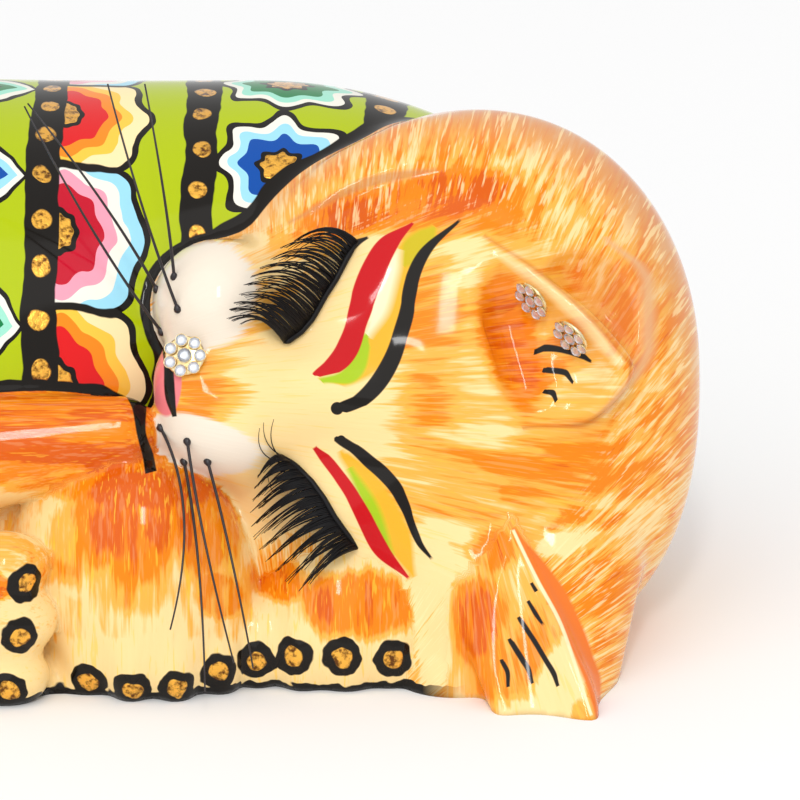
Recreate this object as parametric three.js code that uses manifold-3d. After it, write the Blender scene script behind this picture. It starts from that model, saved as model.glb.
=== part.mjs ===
// A sleeping cat of lacquered papier-mache, lying on its side with its cheek and one ear on the table.
// Its trimmings are glued on: eight bristle whiskers, two false eyelashes and three rhinestone flowers.
// Millimetres, +Z up. X runs from tail to crown and Y from the belly side (-Y) to the back.
import * as THREE from 'three';
import { mergeVertices } from 'three/addons/utils/BufferGeometryUtils.js';
import Module from 'manifold-3d';

const wasm = await Module();
wasm.setup();

// Driving dimensions.
const LEAN = 18; // degrees that the face leans back from upright
const FACE_MIDDLE = [72, -30, 48]; // between the brows, the origin of the face's own axes
const UNDER_MIDDLE = [2.3, -0.3]; // the point of the form that stands over the part's origin
const FACET = { trunk: 13, hindquarters: 6, forelegs: 4.5, head: 4.2 }; // facet size of each form
const BELOW_TABLE = 6; // how far the form goes on below the table before it is cut flat
const GLUE_GAP = 0.3; // between a glued piece and what carries it
const FACET_ERROR = 0.25; // how far the facets stray from the true form
const BRISTLE = 0.62; // whisker thickness at its root
const BRISTLE_TIP = 0.26; // and at its tip
const BRISTLE_SET = 3.6; // how deep a whisker is set
const LIFT = 6; // how far a whisker's bow stands out from the face
const HOLE = 1.7; // width of a whisker's hole
const HOLE_DEPTH = 4;
const LASH_BAND = 1.1; // thickness of an eyelash's band
const LASH_CLUMPS = 8; // hairs fused into clumps along each band
const CLUMP_RADII = [0.55, 0.5, 0.35, 0.12]; // of a clump, from the band to its tip
const CLUMP_RISE = 4.5; // how far a clump arches out from the lid
const CLUMP_TIP = 3; // how far its tip stays off the face
const PETALS = 7; // stones around the middle stone of a flower
const STONE = 2.16; // width of a petal stone
const MIDDLE_STONE = 2.6; // width of the middle stone
const STONE_HEIGHT = 0.95;
const GIRDLE = 0.15; // height of a stone's widest part, as a share of its height
const STONE_TABLE = 0.6; // width of a stone's flat top, as a share of its width
const STONE_RING = 2.83; // radius of the ring of petal stones
const SETTING = 3.74; // radius of the gilt setting
const SETTING_UNDER = 3.44; // and of its narrower underside
const SETTING_HEIGHT = 0.7; // thickness of the gilt setting

// Small vector helpers on plain arrays.
const add = (u, v) => u.map((value, i) => value + v[i]);
const minus = (u, v) => u.map((value, i) => value - v[i]);
const times = (u, factor) => u.map((value) => value * factor);
const dot = (u, v) => u[0] * v[0] + u[1] * v[1] + u[2] * v[2];
const cross = (u, v) => [
  u[1] * v[2] - u[2] * v[1],
  u[2] * v[0] - u[0] * v[2],
  u[0] * v[1] - u[1] * v[0],
];
const unit = (u) => times(u, 1 / Math.hypot(...u));
const mix = (u, v, t) => u.map((value, i) => value + (v[i] - value) * t);
const radians = THREE.MathUtils.degToRad;
const ramp = (value, low, high) => THREE.MathUtils.smoothstep(value, low, high);

// The face's axes: across it to the crown, up it, and straight out of it.
const RIGHT = [1, 0, 0];
const UP = [0, Math.sin(radians(LEAN)), Math.cos(radians(LEAN))];
const OUT = [0, -Math.cos(radians(LEAN)), Math.sin(radians(LEAN))];

const toFace = (p) => {
  const q = minus(p, FACE_MIDDLE);
  return [dot(q, RIGHT), dot(q, UP), dot(q, OUT)];
};
const fromFace = (q) =>
  add(FACE_MIDDLE, add(times(RIGHT, q[0]), add(times(UP, q[1]), times(OUT, q[2]))));

// Forms are distances: below zero inside the papier-mache, above zero outside it.

// Distance to an ellipsoid, turned about axis 0, 1 or 2 by some degrees where it isn't square.
function ball(p, centre, half, axis = 0, degrees = 0) {
  const q = minus(p, centre);
  if (degrees !== 0) {
    const i = (axis + 1) % 3;
    const j = (axis + 2) % 3;
    const cos = Math.cos(radians(degrees));
    const sin = Math.sin(radians(degrees));
    [q[i], q[j]] = [cos * q[i] - sin * q[j], sin * q[i] + cos * q[j]];
  }
  const near = Math.hypot(q[0] / half[0], q[1] / half[1], q[2] / half[2]);
  const slope = Math.hypot(q[0] / half[0] ** 2, q[1] / half[1] ** 2, q[2] / half[2] ** 2);
  return (near * (near - 1)) / Math.max(slope, 1e-9);
}

// Distance to a tapered limb with round ends.
function limb(p, start, end, startRadius, endRadius) {
  const along = minus(end, start);
  const t = THREE.MathUtils.clamp(dot(minus(p, start), along) / dot(along, along), 0, 1);
  return Math.hypot(...minus(p, mix(start, end, t))) - mix([startRadius], [endRadius], t)[0];
}

// A join, a cut and a common part of two forms, each with its crease rounded over a reach.
function join(first, second, reach) {
  const overlap = Math.max(reach - Math.abs(first - second), 0) / reach;
  return Math.min(first, second) - (overlap * overlap * reach) / 4;
}
const carve = (form, tool, reach) => -join(-form, tool, reach);
const common = (first, second, reach) => -join(-first, -second, reach);

// A flap over a convex outline in the face plane, below a slanting top that three points give.
function flap(q, outline, top, floor, reach) {
  let slant = unit(cross(minus(top[1], top[0]), minus(top[2], top[0])));
  slant = times(slant, Math.sign(slant[2]));
  let form = common(dot(minus(q, top[0]), slant), floor - q[2], reach);
  const middleX = outline.reduce((sum, corner) => sum + corner[0], 0) / outline.length;
  const middleY = outline.reduce((sum, corner) => sum + corner[1], 0) / outline.length;
  outline.forEach((corner, i) => {
    const next = outline[(i + 1) % outline.length];
    const length = Math.hypot(next[0] - corner[0], next[1] - corner[1]);
    let side = [(next[1] - corner[1]) / length, (corner[0] - next[0]) / length];
    if (side[0] * (middleX - corner[0]) + side[1] * (middleY - corner[1]) > 0) {
      side = times(side, -1);
    }
    form = common(form, (q[0] - corner[0]) * side[0] + (q[1] - corner[1]) * side[1], reach);
  });
  return form;
}

// The trunk: chest, belly, rump, thigh, the filling behind the paws and the flat foot under it all.
function trunk(p) {
  let form = ball(p, [45, 22, 45], [67, 46, 47]);
  form = join(form, ball(p, [-20, 15, 46.5], [70, 54, 47.5]), 20);
  form = join(form, ball(p, [-68, 10, 42], [55, 56, 45]), 16);
  form = join(form, ball(p, [-66, -26, 34], [44, 34, 34]), 8);
  form = join(form, limb(p, [-25, -28, 18], [42, -22, 20], 14, 14), 6);
  return join(form, ball(p, [-5, 0, 0], [110, 53, 13]), 6);
}

// A row of four toes across a paw, bowed forward in the middle.
function toes(p, form, middle, span, bow, half) {
  for (let i = 0; i < 4; i += 1) {
    const across = (i - 1.5) / 1.5;
    const toe = add(middle, [span * across, bow * across * across, 0]);
    form = join(form, ball(p, toe, half), 3);
  }
  return form;
}

// The upper foreleg runs along the belly to the chin, the lower one hangs to its paw,
// and the other forepaw peeps out under the cheek.
function forelegs(p) {
  const upper = limb(p, [-40, -35, 34.5], [22, -38, 44.5], 17.5, 6.5);
  let lower = ball(p, [26.5, -41, 15], [18, 15, 25], 0, -8);
  lower = join(lower, ball(p, [22, -38, 20], [21, 15, 20]), 6);
  lower = join(lower, ball(p, [28, -40, 12], [17, 16.5, 14]), 6);
  lower = toes(p, lower, [28, -51, 5.5], 11.7, 4, [4.9, 7.5, 9]);
  let paw = ball(p, [61, -37, 8], [16.5, 15, 18], 0, -10);
  paw = toes(p, paw, [58.5, -46, 6], 12, 1.5, [5.2, 7, 9]);
  return join(join(upper, lower, 2), paw, 1.5);
}

// The hind foot lies on its side with its toes one above another, and the tail curls around it.
function hindquarters(p) {
  let foot = limb(p, [-60, -46, 15], [-4, -48, 14.5], 16, 13);
  for (let i = 0; i < 3; i += 1) {
    const forward = i === 1 ? 3 : 1.5;
    foot = join(foot, ball(p, [forward, -53.5 + 1.5 * i, 4 + 10 * i], [8, 7, 5.8]), 3);
  }
  let tail = limb(p, [-108, 10, 12], [-100, -40, 11], 13, 12);
  tail = join(tail, limb(p, [-100, -40, 11], [-66, -58, 10], 12, 10), 6);
  tail = join(tail, limb(p, [-66, -58, 10], [-30, -61, 8.5], 10, 8), 6);
  return join(foot, tail, 3);
}

// The skull with its face, cheeks and the fold of fur over the upper cheek.
function skull(q) {
  let form = ball(q, [9, 0, -28], [42, 51.5, 33]);
  form = join(form, ball(q, [19.5, 9, -24], [34, 41.5, 28]), 12);
  form = join(form, ball(q, [23, -13, -24], [27.5, 31, 26]), 10);
  form = join(form, ball(q, [-2, -1, -13], [38, 40, 19]), 10);
  form = join(form, ball(q, [-12, -21, -9], [22, 16, 15], 2, -20), 8);
  form = join(form, limb(q, [8, -30, -8], [10, -50, -2], 13, 11), 8);
  const radius = Math.hypot(q[0] - 10, q[1] - 2);
  const angle = THREE.MathUtils.radToDeg(Math.atan2(q[1] - 2, q[0] - 10));
  const along = ramp(angle, 82, 104) * (1 - ramp(angle, 148, 166));
  return form - 2.6 * ramp(radius, 38.5, 42) * along * ramp(q[2], -24, -12);
}

// The closed eyelids, the bridge of the nose, the two whisker pads and the nose.
function features(q, form) {
  form = join(form, ball(q, [-13, 20, -3], [14, 9.5, 8.5], 2, -57), 5);
  form = join(form, ball(q, [-13, -19, -3], [14, 9.5, 8.5], 2, 54), 5);
  form = join(form, limb(q, [-6, 1, 1], [-36, 3, 8.5], 8, 6), 8);
  const upperPad = ball(q, [-32.5, 17, 1], [12, 12, 13]);
  const lowerPad = ball(q, [-31.5, -5, 2.5], [13, 10, 13]);
  form = join(form, join(upperPad, lowerPad, 4), 7);
  return join(form, ball(q, [-39.5, 3.5, 6.5], [4.5, 6.5, 7]), 2);
}

// The upper ear stands up in front of a pocket in the fur, and is cupped along its long edge.
const UPPER_EAR = {
  pocket: { centre: [34.5, 14.5, 5], half: [12.3, 16, 11], degrees: 22 },
  outline: [[14, 30.5], [35.5, 15.5], [42.6, 6], [41, 1.5], [33, -5], [20, -6.5]],
  top: [[14.5, 30, 4.5], [43, 5, 9.5], [20, -6.5, 5]],
  floor: -12,
  root: { centre: [17, 18, -6], half: [12, 15, 11] },
  cups: [
    { start: [18.8, 19.5, 7.5], end: [31.5, 5, 11], startRadius: 4.6, endRadius: 6.2 },
    { start: [19.5, 14, 5.5], end: [22.5, 3, 7.5], startRadius: 4.5, endRadius: 4 },
  ],
  crease: 2.5,
};

// The lower ear fans out from its root down to the table, with a ridge along its far edge.
const LOWER_EAR = {
  outline: [[19.5, -19], [36, -54], [36, -60], [32, -75], [24, -75], [11, -42]],
  top: [[19.5, -19, 7], [37.5, -58, 20], [10, -56, 16.5]],
  floor: -14,
  back: { start: [28, -30, -9], end: [26, -56, 1], startRadius: 16, endRadius: 12 },
  fan: { start: [20.5, -25, 11.5], end: [24, -58, 29.5], startRadius: 3, endRadius: 12.5 },
  roll: { start: [13, -26, 0.5], end: [12.5, -42, 4], startRadius: 6, endRadius: 6.5 },
  crease: 3,
};

const limbOf = (q, { start, end, startRadius, endRadius }) => limb(q, start, end, startRadius, endRadius);

function upperEar(q, form) {
  const { pocket, outline, top, floor, root, cups, crease } = UPPER_EAR;
  const hollow = carve(form, ball(q, pocket.centre, pocket.half, 2, pocket.degrees), crease);
  const ear = join(flap(q, outline, top, floor, crease), ball(q, root.centre, root.half), crease);
  return cups.reduce((whole, cup) => carve(whole, limbOf(q, cup), crease), join(hollow, ear, crease));
}

function lowerEar(q, form) {
  const { outline, top, floor, back, fan, roll, crease } = LOWER_EAR;
  const ear = join(flap(q, outline, top, floor, crease), limbOf(q, back), crease);
  return join(carve(join(form, ear, crease), limbOf(q, fan), crease), limbOf(q, roll), crease);
}

function bareHead(p) {
  const q = toFace(p);
  return features(q, skull(q));
}

function head(p) {
  const q = toFace(p);
  return lowerEar(q, upperEar(q, features(q, skull(q))));
}

// The whole cat, as the trimmings meet it.
const cat = (p) => Math.min(trunk(p), forelegs(p), hindquarters(p), head(p));

// The direction in which a form's distance grows fastest, with its rate.
function slopeOf(form, p) {
  const step = 0.05;
  return [0, 1, 2].map((axis) => {
    const offset = [0, 0, 0];
    offset[axis] = step;
    return (form(add(p, offset)) - form(minus(p, offset))) / (2 * step);
  });
}

const FILLED = -0.01; // the depth given to a grid corner that is filled in

// Air that can't be reached from outside is filled, so that the solid has no sealed hollow.
function fillHollows(depth, counts, corner) {
  const reached = new Set([corner(0, 0, 0)]);
  const waiting = [[0, 0, 0]];
  while (waiting.length > 0) {
    const at = waiting.pop();
    for (let axis = 0; axis < 3; axis += 1) {
      for (const step of [-1, 1]) {
        const to = [...at];
        to[axis] += step;
        const index = corner(...to);
        if (to[axis] >= 0 && to[axis] < counts[axis] && depth[index] >= 0 && !reached.has(index)) {
          reached.add(index);
          waiting.push(to);
        }
      }
    }
  }
  depth.forEach((value, index) => {
    if (value >= 0 && !reached.has(index)) {
      depth[index] = FILLED;
    }
  });
}

// Where two inside corners of a grid square meet only across its diagonal, the gap is filled, so
// that two sheets of the surface never share an edge.
function fillPinches(depth, counts, corner) {
  let pinches = 1;
  while (pinches > 0) {
    pinches = 0;
    for (let i = 0; i < counts[0] - 1; i += 1) {
      for (let j = 0; j < counts[1] - 1; j += 1) {
        for (let k = 0; k < counts[2] - 1; k += 1) {
          for (let axis = 0; axis < 3; axis += 1) {
            const square = [[0, 0], [1, 0], [1, 1], [0, 1]].map(([first, second]) => {
              const at = [i, j, k];
              at[(axis + 1) % 3] += first;
              at[(axis + 2) % 3] += second;
              return corner(...at);
            });
            const inside = square.map((index) => depth[index] < 0);
            if (inside[0] === inside[2] && inside[1] === inside[3] && inside[0] !== inside[1]) {
              const [a, b] = inside[0] ? [square[1], square[3]] : [square[0], square[2]];
              depth[depth[a] < depth[b] ? a : b] = FILLED;
              pinches += 1;
            }
          }
        }
      }
    }
  }
}

// A closed mesh of a form: one vertex in each cell of a grid that its surface crosses, moved onto
// the surface, and a quad around each grid edge that it crosses. Below the table the form goes
// straight down a little way, where the floor's cut makes it flat.
function facets(shape, size, [low, high]) {
  const form = (p) => Math.max(shape([p[0], p[1], Math.max(p[2], 0)]), -BELOW_TABLE - p[2]);
  const [nx, ny, nz] = low.map((value, axis) => Math.ceil((high[axis] - value) / size) + 1);
  const corner = (i, j, k) => (i * ny + j) * nz + k;
  const place = (index) => index.map((value, axis) => low[axis] + value * size);
  const depth = new Float64Array(nx * ny * nz);
  for (let i = 0; i < nx; i += 1) {
    for (let j = 0; j < ny; j += 1) {
      for (let k = 0; k < nz; k += 1) {
        depth[corner(i, j, k)] = form(place([i, j, k]));
      }
    }
  }
  fillPinches(depth, [nx, ny, nz], corner);
  fillHollows(depth, [nx, ny, nz], corner);
  const vertexOf = new Map();
  const positions = [];
  for (let i = 0; i < nx - 1; i += 1) {
    for (let j = 0; j < ny - 1; j += 1) {
      for (let k = 0; k < nz - 1; k += 1) {
        const crossings = [];
        for (let edge = 0; edge < 12; edge += 1) {
          const axis = edge >> 2;
          const from = [i, j, k];
          from[(axis + 1) % 3] += edge & 1;
          from[(axis + 2) % 3] += (edge >> 1) & 1;
          const to = [...from];
          to[axis] += 1;
          const first = depth[corner(...from)];
          const second = depth[corner(...to)];
          if (first < 0 !== second < 0) {
            crossings.push(mix(place(from), place(to), first / (first - second)));
          }
        }
        if (crossings.length > 0) {
          const sum = crossings.reduce((total, crossing) => add(total, crossing));
          let vertex = times(sum, 1 / crossings.length);
          for (let pass = 0; pass < 3; pass += 1) {
            const slope = slopeOf(form, vertex);
            const reach = THREE.MathUtils.clamp(form(vertex) / Math.max(dot(slope, slope), 0.2), -1, 1);
            vertex = minus(vertex, times(slope, reach));
          }
          vertexOf.set(corner(i, j, k), positions.length / 3);
          positions.push(...vertex);
        }
      }
    }
  }
  const indices = [];
  const point = (vertex) => positions.slice(vertex * 3, vertex * 3 + 3);
  const apart = (first, second) => Math.hypot(...minus(point(first), point(second)));
  for (let i = 1; i < nx - 1; i += 1) {
    for (let j = 1; j < ny - 1; j += 1) {
      for (let k = 1; k < nz - 1; k += 1) {
        for (let axis = 0; axis < 3; axis += 1) {
          const to = [i, j, k];
          to[axis] += 1;
          const inside = depth[corner(i, j, k)] < 0;
          if (inside !== depth[corner(...to)] < 0) {
            const ring = [[0, 0], [1, 0], [1, 1], [0, 1]].map(([back, down]) => {
              const cell = [i, j, k];
              cell[(axis + 1) % 3] -= back;
              cell[(axis + 2) % 3] -= down;
              return vertexOf.get(corner(...cell));
            });
            const [a, b, c, d] = inside ? ring : ring.reverse();
            if (apart(a, c) < apart(b, d)) {
              indices.push(a, b, c, a, c, d);
            } else {
              indices.push(b, c, d, b, d, a);
            }
          }
        }
      }
    }
  }
  const geometry = new THREE.BufferGeometry();
  geometry.setAttribute('position', new THREE.Float32BufferAttribute(positions, 3));
  geometry.setIndex(indices);
  return geometry;
}

// A closed mesh as a solid for cuts and joins, and back again.
function toSolid(geometry) {
  const bare = geometry.clone();
  bare.deleteAttribute('normal');
  bare.deleteAttribute('uv');
  const merged = mergeVertices(bare, 1e-4);
  return new wasm.Manifold(new wasm.Mesh({
    numProp: 3,
    vertProperties: new Float32Array(merged.attributes.position.array),
    triVerts: new Uint32Array(merged.index.array),
  }));
}

function toGeometry(solid) {
  const mesh = solid.getMesh();
  const geometry = new THREE.BufferGeometry();
  geometry.setAttribute('position', new THREE.BufferAttribute(mesh.vertProperties, 3));
  geometry.setIndex(new THREE.BufferAttribute(mesh.triVerts, 1));
  geometry.computeVertexNormals();
  return geometry;
}

// A closed rod through points, with a radius at each of them.
function rod(points, radii, sides) {
  const positions = [];
  const indices = [];
  points.forEach((point, i) => {
    const before = points[Math.max(i - 1, 0)];
    const after = points[Math.min(i + 1, points.length - 1)];
    const along = unit(minus(after, before));
    const side = unit(cross(along, OUT));
    const rise = cross(side, along);
    for (let s = 0; s < sides; s += 1) {
      const turn = (2 * Math.PI * s) / sides;
      const offset = add(times(side, Math.cos(turn)), times(rise, Math.sin(turn)));
      positions.push(...add(point, times(offset, radii[i])));
    }
  });
  for (let i = 0; i < points.length - 1; i += 1) {
    for (let s = 0; s < sides; s += 1) {
      const next = (s + 1) % sides;
      const [a, b] = [i * sides + s, i * sides + next];
      indices.push(a, a + sides, b, b, a + sides, b + sides);
    }
  }
  const last = (points.length - 1) * sides;
  for (let s = 1; s < sides - 1; s += 1) {
    indices.push(0, s, s + 1, last, last + s + 1, last + s);
  }
  const geometry = new THREE.BufferGeometry();
  geometry.setAttribute('position', new THREE.Float32BufferAttribute(positions, 3));
  geometry.setIndex(indices);
  return geometry;
}

// The ears as solids of their own, made in the face's axes and turned to where the face is.
const FACE_TURN = new THREE.Matrix4()
  .makeBasis(new THREE.Vector3(...RIGHT), new THREE.Vector3(...UP), new THREE.Vector3(...OUT))
  .setPosition(...FACE_MIDDLE);
const faceSolid = (geometry) => toSolid(geometry.applyMatrix4(FACE_TURN));

function ballSolid({ centre, half, degrees = 0 }) {
  const geometry = new THREE.SphereGeometry(1, 14, 9).scale(...half);
  return faceSolid(geometry.rotateZ(-radians(degrees)).translate(...centre));
}

// A limb as a rod whose ends round off: how far past its ends each ring lies, and how wide it is
// there, both as shares of the end's radius.
const ROUNDING = [[0.92, 0.4], [0.55, 0.84], [0, 1]];

function limbSolid({ start, end, startRadius, endRadius }) {
  const along = unit(minus(end, start));
  const ringsAt = (point, radius, way) => ROUNDING.map(([past, width]) =>
    [add(point, times(along, way * past * radius)), width * radius]);
  const rings = [...ringsAt(start, startRadius, -1), ...ringsAt(end, endRadius, 1).reverse()];
  return faceSolid(rod(rings.map(([point]) => point), rings.map(([, radius]) => radius), 9));
}

// A flap as a prism: its outline at the floor and on the slanting top, with a side below each edge.
function flapSolid({ outline, top, floor }) {
  const slant = cross(minus(top[1], top[0]), minus(top[2], top[0]));
  const height = ([x, y]) =>
    top[0][2] - (slant[0] * (x - top[0][0]) + slant[1] * (y - top[0][1])) / slant[2];
  const count = outline.length;
  const corners = [
    ...outline.map(([x, y]) => [x, y, floor]),
    ...outline.map((corner) => [...corner, height(corner)]),
  ];
  const indices = [];
  for (let i = 0; i < count; i += 1) {
    const next = (i + 1) % count;
    indices.push(i, i + count, next, next, i + count, next + count);
    if (i > 0 && i < count - 1) {
      indices.push(0, i, i + 1, count, count + i + 1, count + i);
    }
  }
  const geometry = new THREE.BufferGeometry();
  geometry.setAttribute('position', new THREE.Float32BufferAttribute(corners.flat(), 3));
  geometry.setIndex(indices);
  return faceSolid(geometry);
}

function addEars(headSolid) {
  const upper = flapSolid(UPPER_EAR).add(ballSolid(UPPER_EAR.root));
  let whole = headSolid.subtract(ballSolid(UPPER_EAR.pocket)).add(upper);
  UPPER_EAR.cups.forEach((cup) => {
    whole = whole.subtract(limbSolid(cup));
  });
  const lower = flapSolid(LOWER_EAR).add(limbSolid(LOWER_EAR.back));
  return whole.add(lower).subtract(limbSolid(LOWER_EAR.fan)).add(limbSolid(LOWER_EAR.roll));
}

const AHEAD = 45; // a distance out from the face that clears all of it

// The point of the surface in front of a place on the face, raised by a height.
function onFace(across, up, height = 0) {
  let out = AHEAD;
  for (let pass = 0; pass < 80; pass += 1) {
    out -= 0.6 * cat(fromFace([across, up, out]));
  }
  return fromFace([across, up, out + height]);
}

// Points along a bow from start to end that passes near a middle point.
function bow(start, middle, end, steps) {
  const curve = new THREE.QuadraticBezierCurve3(
    new THREE.Vector3(...start), new THREE.Vector3(...middle), new THREE.Vector3(...end));
  return curve.getPoints(steps).map((point) => point.toArray());
}

const MATERIALS = {
  lacquer: new THREE.MeshStandardMaterial({ color: 0xf0a040, roughness: 0.15, metalness: 0 }),
  bristle: new THREE.MeshStandardMaterial({ color: 0x151313, roughness: 0.35, metalness: 0 }),
  lash: new THREE.MeshStandardMaterial({ color: 0x0c0b0d, roughness: 0.5, metalness: 0 }),
  gilt: new THREE.MeshStandardMaterial({ color: 0xd2ae67, roughness: 0.25, metalness: 1 }),
  crystal: new THREE.MeshStandardMaterial({ color: 0xf4f6fa, roughness: 0.05, metalness: 0 }),
};

const group = new THREE.Group();
group.position.set(-UNDER_MIDDLE[0], -UNDER_MIDDLE[1], 0);

function addPiece(name, geometry, material) {
  const mesh = new THREE.Mesh(geometry, material);
  mesh.name = name;
  group.add(mesh);
  return mesh;
}

// Whiskers: root and tip as places on the face, how far the tip stands out, and the sideways bow.
const WHISKERS = {
  upper: [
    { root: [-40.3, 22], tip: [-45.4, 56.2], out: 13, bow: 0.5 },
    { root: [-39.6, 16.2], tip: [-52, 56.2], out: 13, bow: -0.5 },
    { root: [-43.6, 19.8], tip: [-66.4, 52.9], out: 10, bow: 1 },
    { root: [-42.7, 12.2], tip: [-67, 52.4], out: 10, bow: -1 },
  ],
  lower: [
    { root: [-42.7, -5], tip: [-40.5, -40.5], out: 23, bow: -3.5 },
    { root: [-37.8, -7.4], tip: [-29.3, -46.4], out: 22, bow: 0.5 },
    { root: [-38.5, -11], tip: [-34.4, -51.5], out: 22, bow: -1 },
    { root: [-34.2, -11], tip: [-25.9, -47.3], out: 22, bow: -0.5 },
  ],
};

// Where a whisker leaves the surface, the way it points there, and its curve from there to the tip.
function whiskerLine({ root, tip, out, bow: sideways }) {
  const start = onFace(...root);
  const end = fromFace([...tip, out]);
  const side = unit(cross(OUT, minus(end, start)));
  const middle = add(add(mix(start, end, 0.4), times(side, -2 * sideways)), times(OUT, LIFT));
  return { start, along: unit(minus(middle, start)), curve: bow(start, middle, end, 6) };
}

const floor = new THREE.BoxGeometry(400, 300, 60).translate(0, 0, -30);
const FORMS = [
  { shape: trunk, size: FACET.trunk, box: [[-142, -80, -20], [130, 90, 115]] },
  { shape: hindquarters, size: FACET.hindquarters, box: [[-130, -80, -15], [20, 35, 45]] },
  { shape: forelegs, size: FACET.forelegs, box: [[-66, -70, -14], [88, -8, 65]] },
];
const HEAD_BOX = [[16, -82, -12], [134, 50, 106]];
let catSolid = FORMS
  .map(({ shape, size, box }) => toSolid(facets(shape, size, box)))
  .reduce((whole, form) => whole.add(form))
  .add(addEars(toSolid(facets(bareHead, FACET.head, HEAD_BOX))))
  .subtract(toSolid(floor));

for (const [pad, whiskers] of Object.entries(WHISKERS)) {
  whiskers.forEach((whisker, i) => {
    const { start, along, curve } = whiskerLine(whisker);
    const [bottom, mouth] = [-HOLE_DEPTH, HOLE_DEPTH].map((depth) => add(start, times(along, depth)));
    catSolid = catSolid.subtract(toSolid(rod([bottom, mouth], [HOLE / 2, HOLE / 2], 6)));
    const points = [add(start, times(along, -BRISTLE_SET)), ...curve];
    const radii = points.map((_, step) =>
      (BRISTLE + (BRISTLE_TIP - BRISTLE) * (step / (points.length - 1))) / 2);
    addPiece(`whisker_${pad}_${i + 1}`, rod(points, radii, 4), MATERIALS.bristle);
  });
}
addPiece('cat', toGeometry(catSolid), MATERIALS.lacquer);

// Eyelashes: the band along the closed lid, from the inner corner to the outer one, and the tips.
const LASHES = {
  upper: {
    band: [[-19.8, 10.4], [-15.6, 14.6], [-11.5, 21.5], [-7.2, 28.4]],
    tips: [[-30.6, 13.5], [-29.2, 17.5], [-25, 24], [-18.2, 29]],
  },
  lower: {
    band: [[-20.4, -10.3], [-15.8, -14.6], [-11.7, -20.9], [-7.9, -26.3]],
    tips: [[-25.5, -12], [-26.5, -20], [-23.5, -27.5], [-17, -33.5]],
  },
};

function alongPlaces(places, t) {
  const curve = new THREE.CatmullRomCurve3(places.map(([a, b]) => new THREE.Vector3(a, b, 0)));
  const point = curve.getPoint(t);
  return [point.x, point.y];
}

const lashHeight = GLUE_GAP + FACET_ERROR + LASH_BAND / 2;
for (const [lid, { band, tips }] of Object.entries(LASHES)) {
  const bandPoints = [];
  for (let i = 0; i <= 8; i += 1) {
    bandPoints.push(onFace(...alongPlaces(band, i / 8), lashHeight));
  }
  let lash = toSolid(rod(bandPoints, bandPoints.map(() => LASH_BAND / 2), 5));
  for (let i = 0; i < LASH_CLUMPS; i += 1) {
    const t = (i + 0.5) / LASH_CLUMPS;
    const root = onFace(...alongPlaces(band, t), lashHeight);
    const tip = onFace(...alongPlaces(tips, t), CLUMP_TIP);
    const middle = add(mix(root, tip, 0.45), times(OUT, CLUMP_RISE));
    const clump = bow(root, middle, tip, CLUMP_RADII.length - 1);
    lash = lash.add(toSolid(rod(clump, CLUMP_RADII, 3)));
  }
  addPiece(`eyelash_${lid}`, toGeometry(lash), MATERIALS.lash);
}

// Rhinestone flowers: one on the nose and two in the cup of the upper ear, turned to face into it.
const FLOWERS = {
  nose: { place: [-38.2, 7.9], facing: [-0.15, 0.2, 1] },
  ear_inner: { place: [23.9, 18], facing: [-0.72, -0.56, 0.42] },
  ear_outer: { place: [30.8, 11.3], facing: [-0.66, -0.62, 0.42] },
};

function ringOf(count, radius) {
  return Array.from({ length: count }, (_, i) => {
    const turn = (2 * Math.PI * i) / count;
    return [radius * Math.cos(turn), radius * Math.sin(turn)];
  });
}

// A stone: a flat back, a slanting crown and a flat table.
function stoneGeometry(width) {
  const profile = [
    new THREE.Vector2(0, 0),
    new THREE.Vector2(width / 2, STONE_HEIGHT * GIRDLE),
    new THREE.Vector2((width / 2) * STONE_TABLE, STONE_HEIGHT),
    new THREE.Vector2(0, STONE_HEIGHT),
  ];
  return new THREE.LatheGeometry(profile, 6).rotateX(Math.PI / 2);
}

for (const [where, { place, facing }] of Object.entries(FLOWERS)) {
  const normal = unit(minus(fromFace(facing), FACE_MIDDLE));
  const across = unit(cross(UP, normal));
  const over = cross(normal, across);
  let middle = onFace(...place);
  for (let pass = 0; pass < 12; pass += 1) {
    const room = Math.min(...[...ringOf(10, SETTING), [0, 0]].map(([a, b]) =>
      cat(add(middle, add(times(across, a), times(over, b))))));
    middle = add(middle, times(OUT, GLUE_GAP + FACET_ERROR - room));
  }
  const flower = new THREE.Group();
  flower.position.set(...middle);
  flower.quaternion.setFromRotationMatrix(new THREE.Matrix4().makeBasis(
    new THREE.Vector3(...across), new THREE.Vector3(...over), new THREE.Vector3(...normal)));
  group.add(flower);
  const addTo = (name, geometry, material) => flower.add(addPiece(name, geometry, material));
  const plate = new THREE.CylinderGeometry(SETTING, SETTING_UNDER, SETTING_HEIGHT, 14)
    .rotateX(Math.PI / 2).translate(0, 0, SETTING_HEIGHT / 2);
  addTo(`flower_${where}_setting`, plate, MATERIALS.gilt);
  const stones = [[0, 0, MIDDLE_STONE], ...ringOf(PETALS, STONE_RING).map((at) => [...at, STONE])];
  stones.forEach(([x, y, width], i) => {
    const stone = stoneGeometry(width).translate(x, y, SETTING_HEIGHT + GLUE_GAP);
    addTo(`flower_${where}_stone_${i}`, stone, MATERIALS.crystal);
  });
}

export default group;
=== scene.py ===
import math

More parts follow.
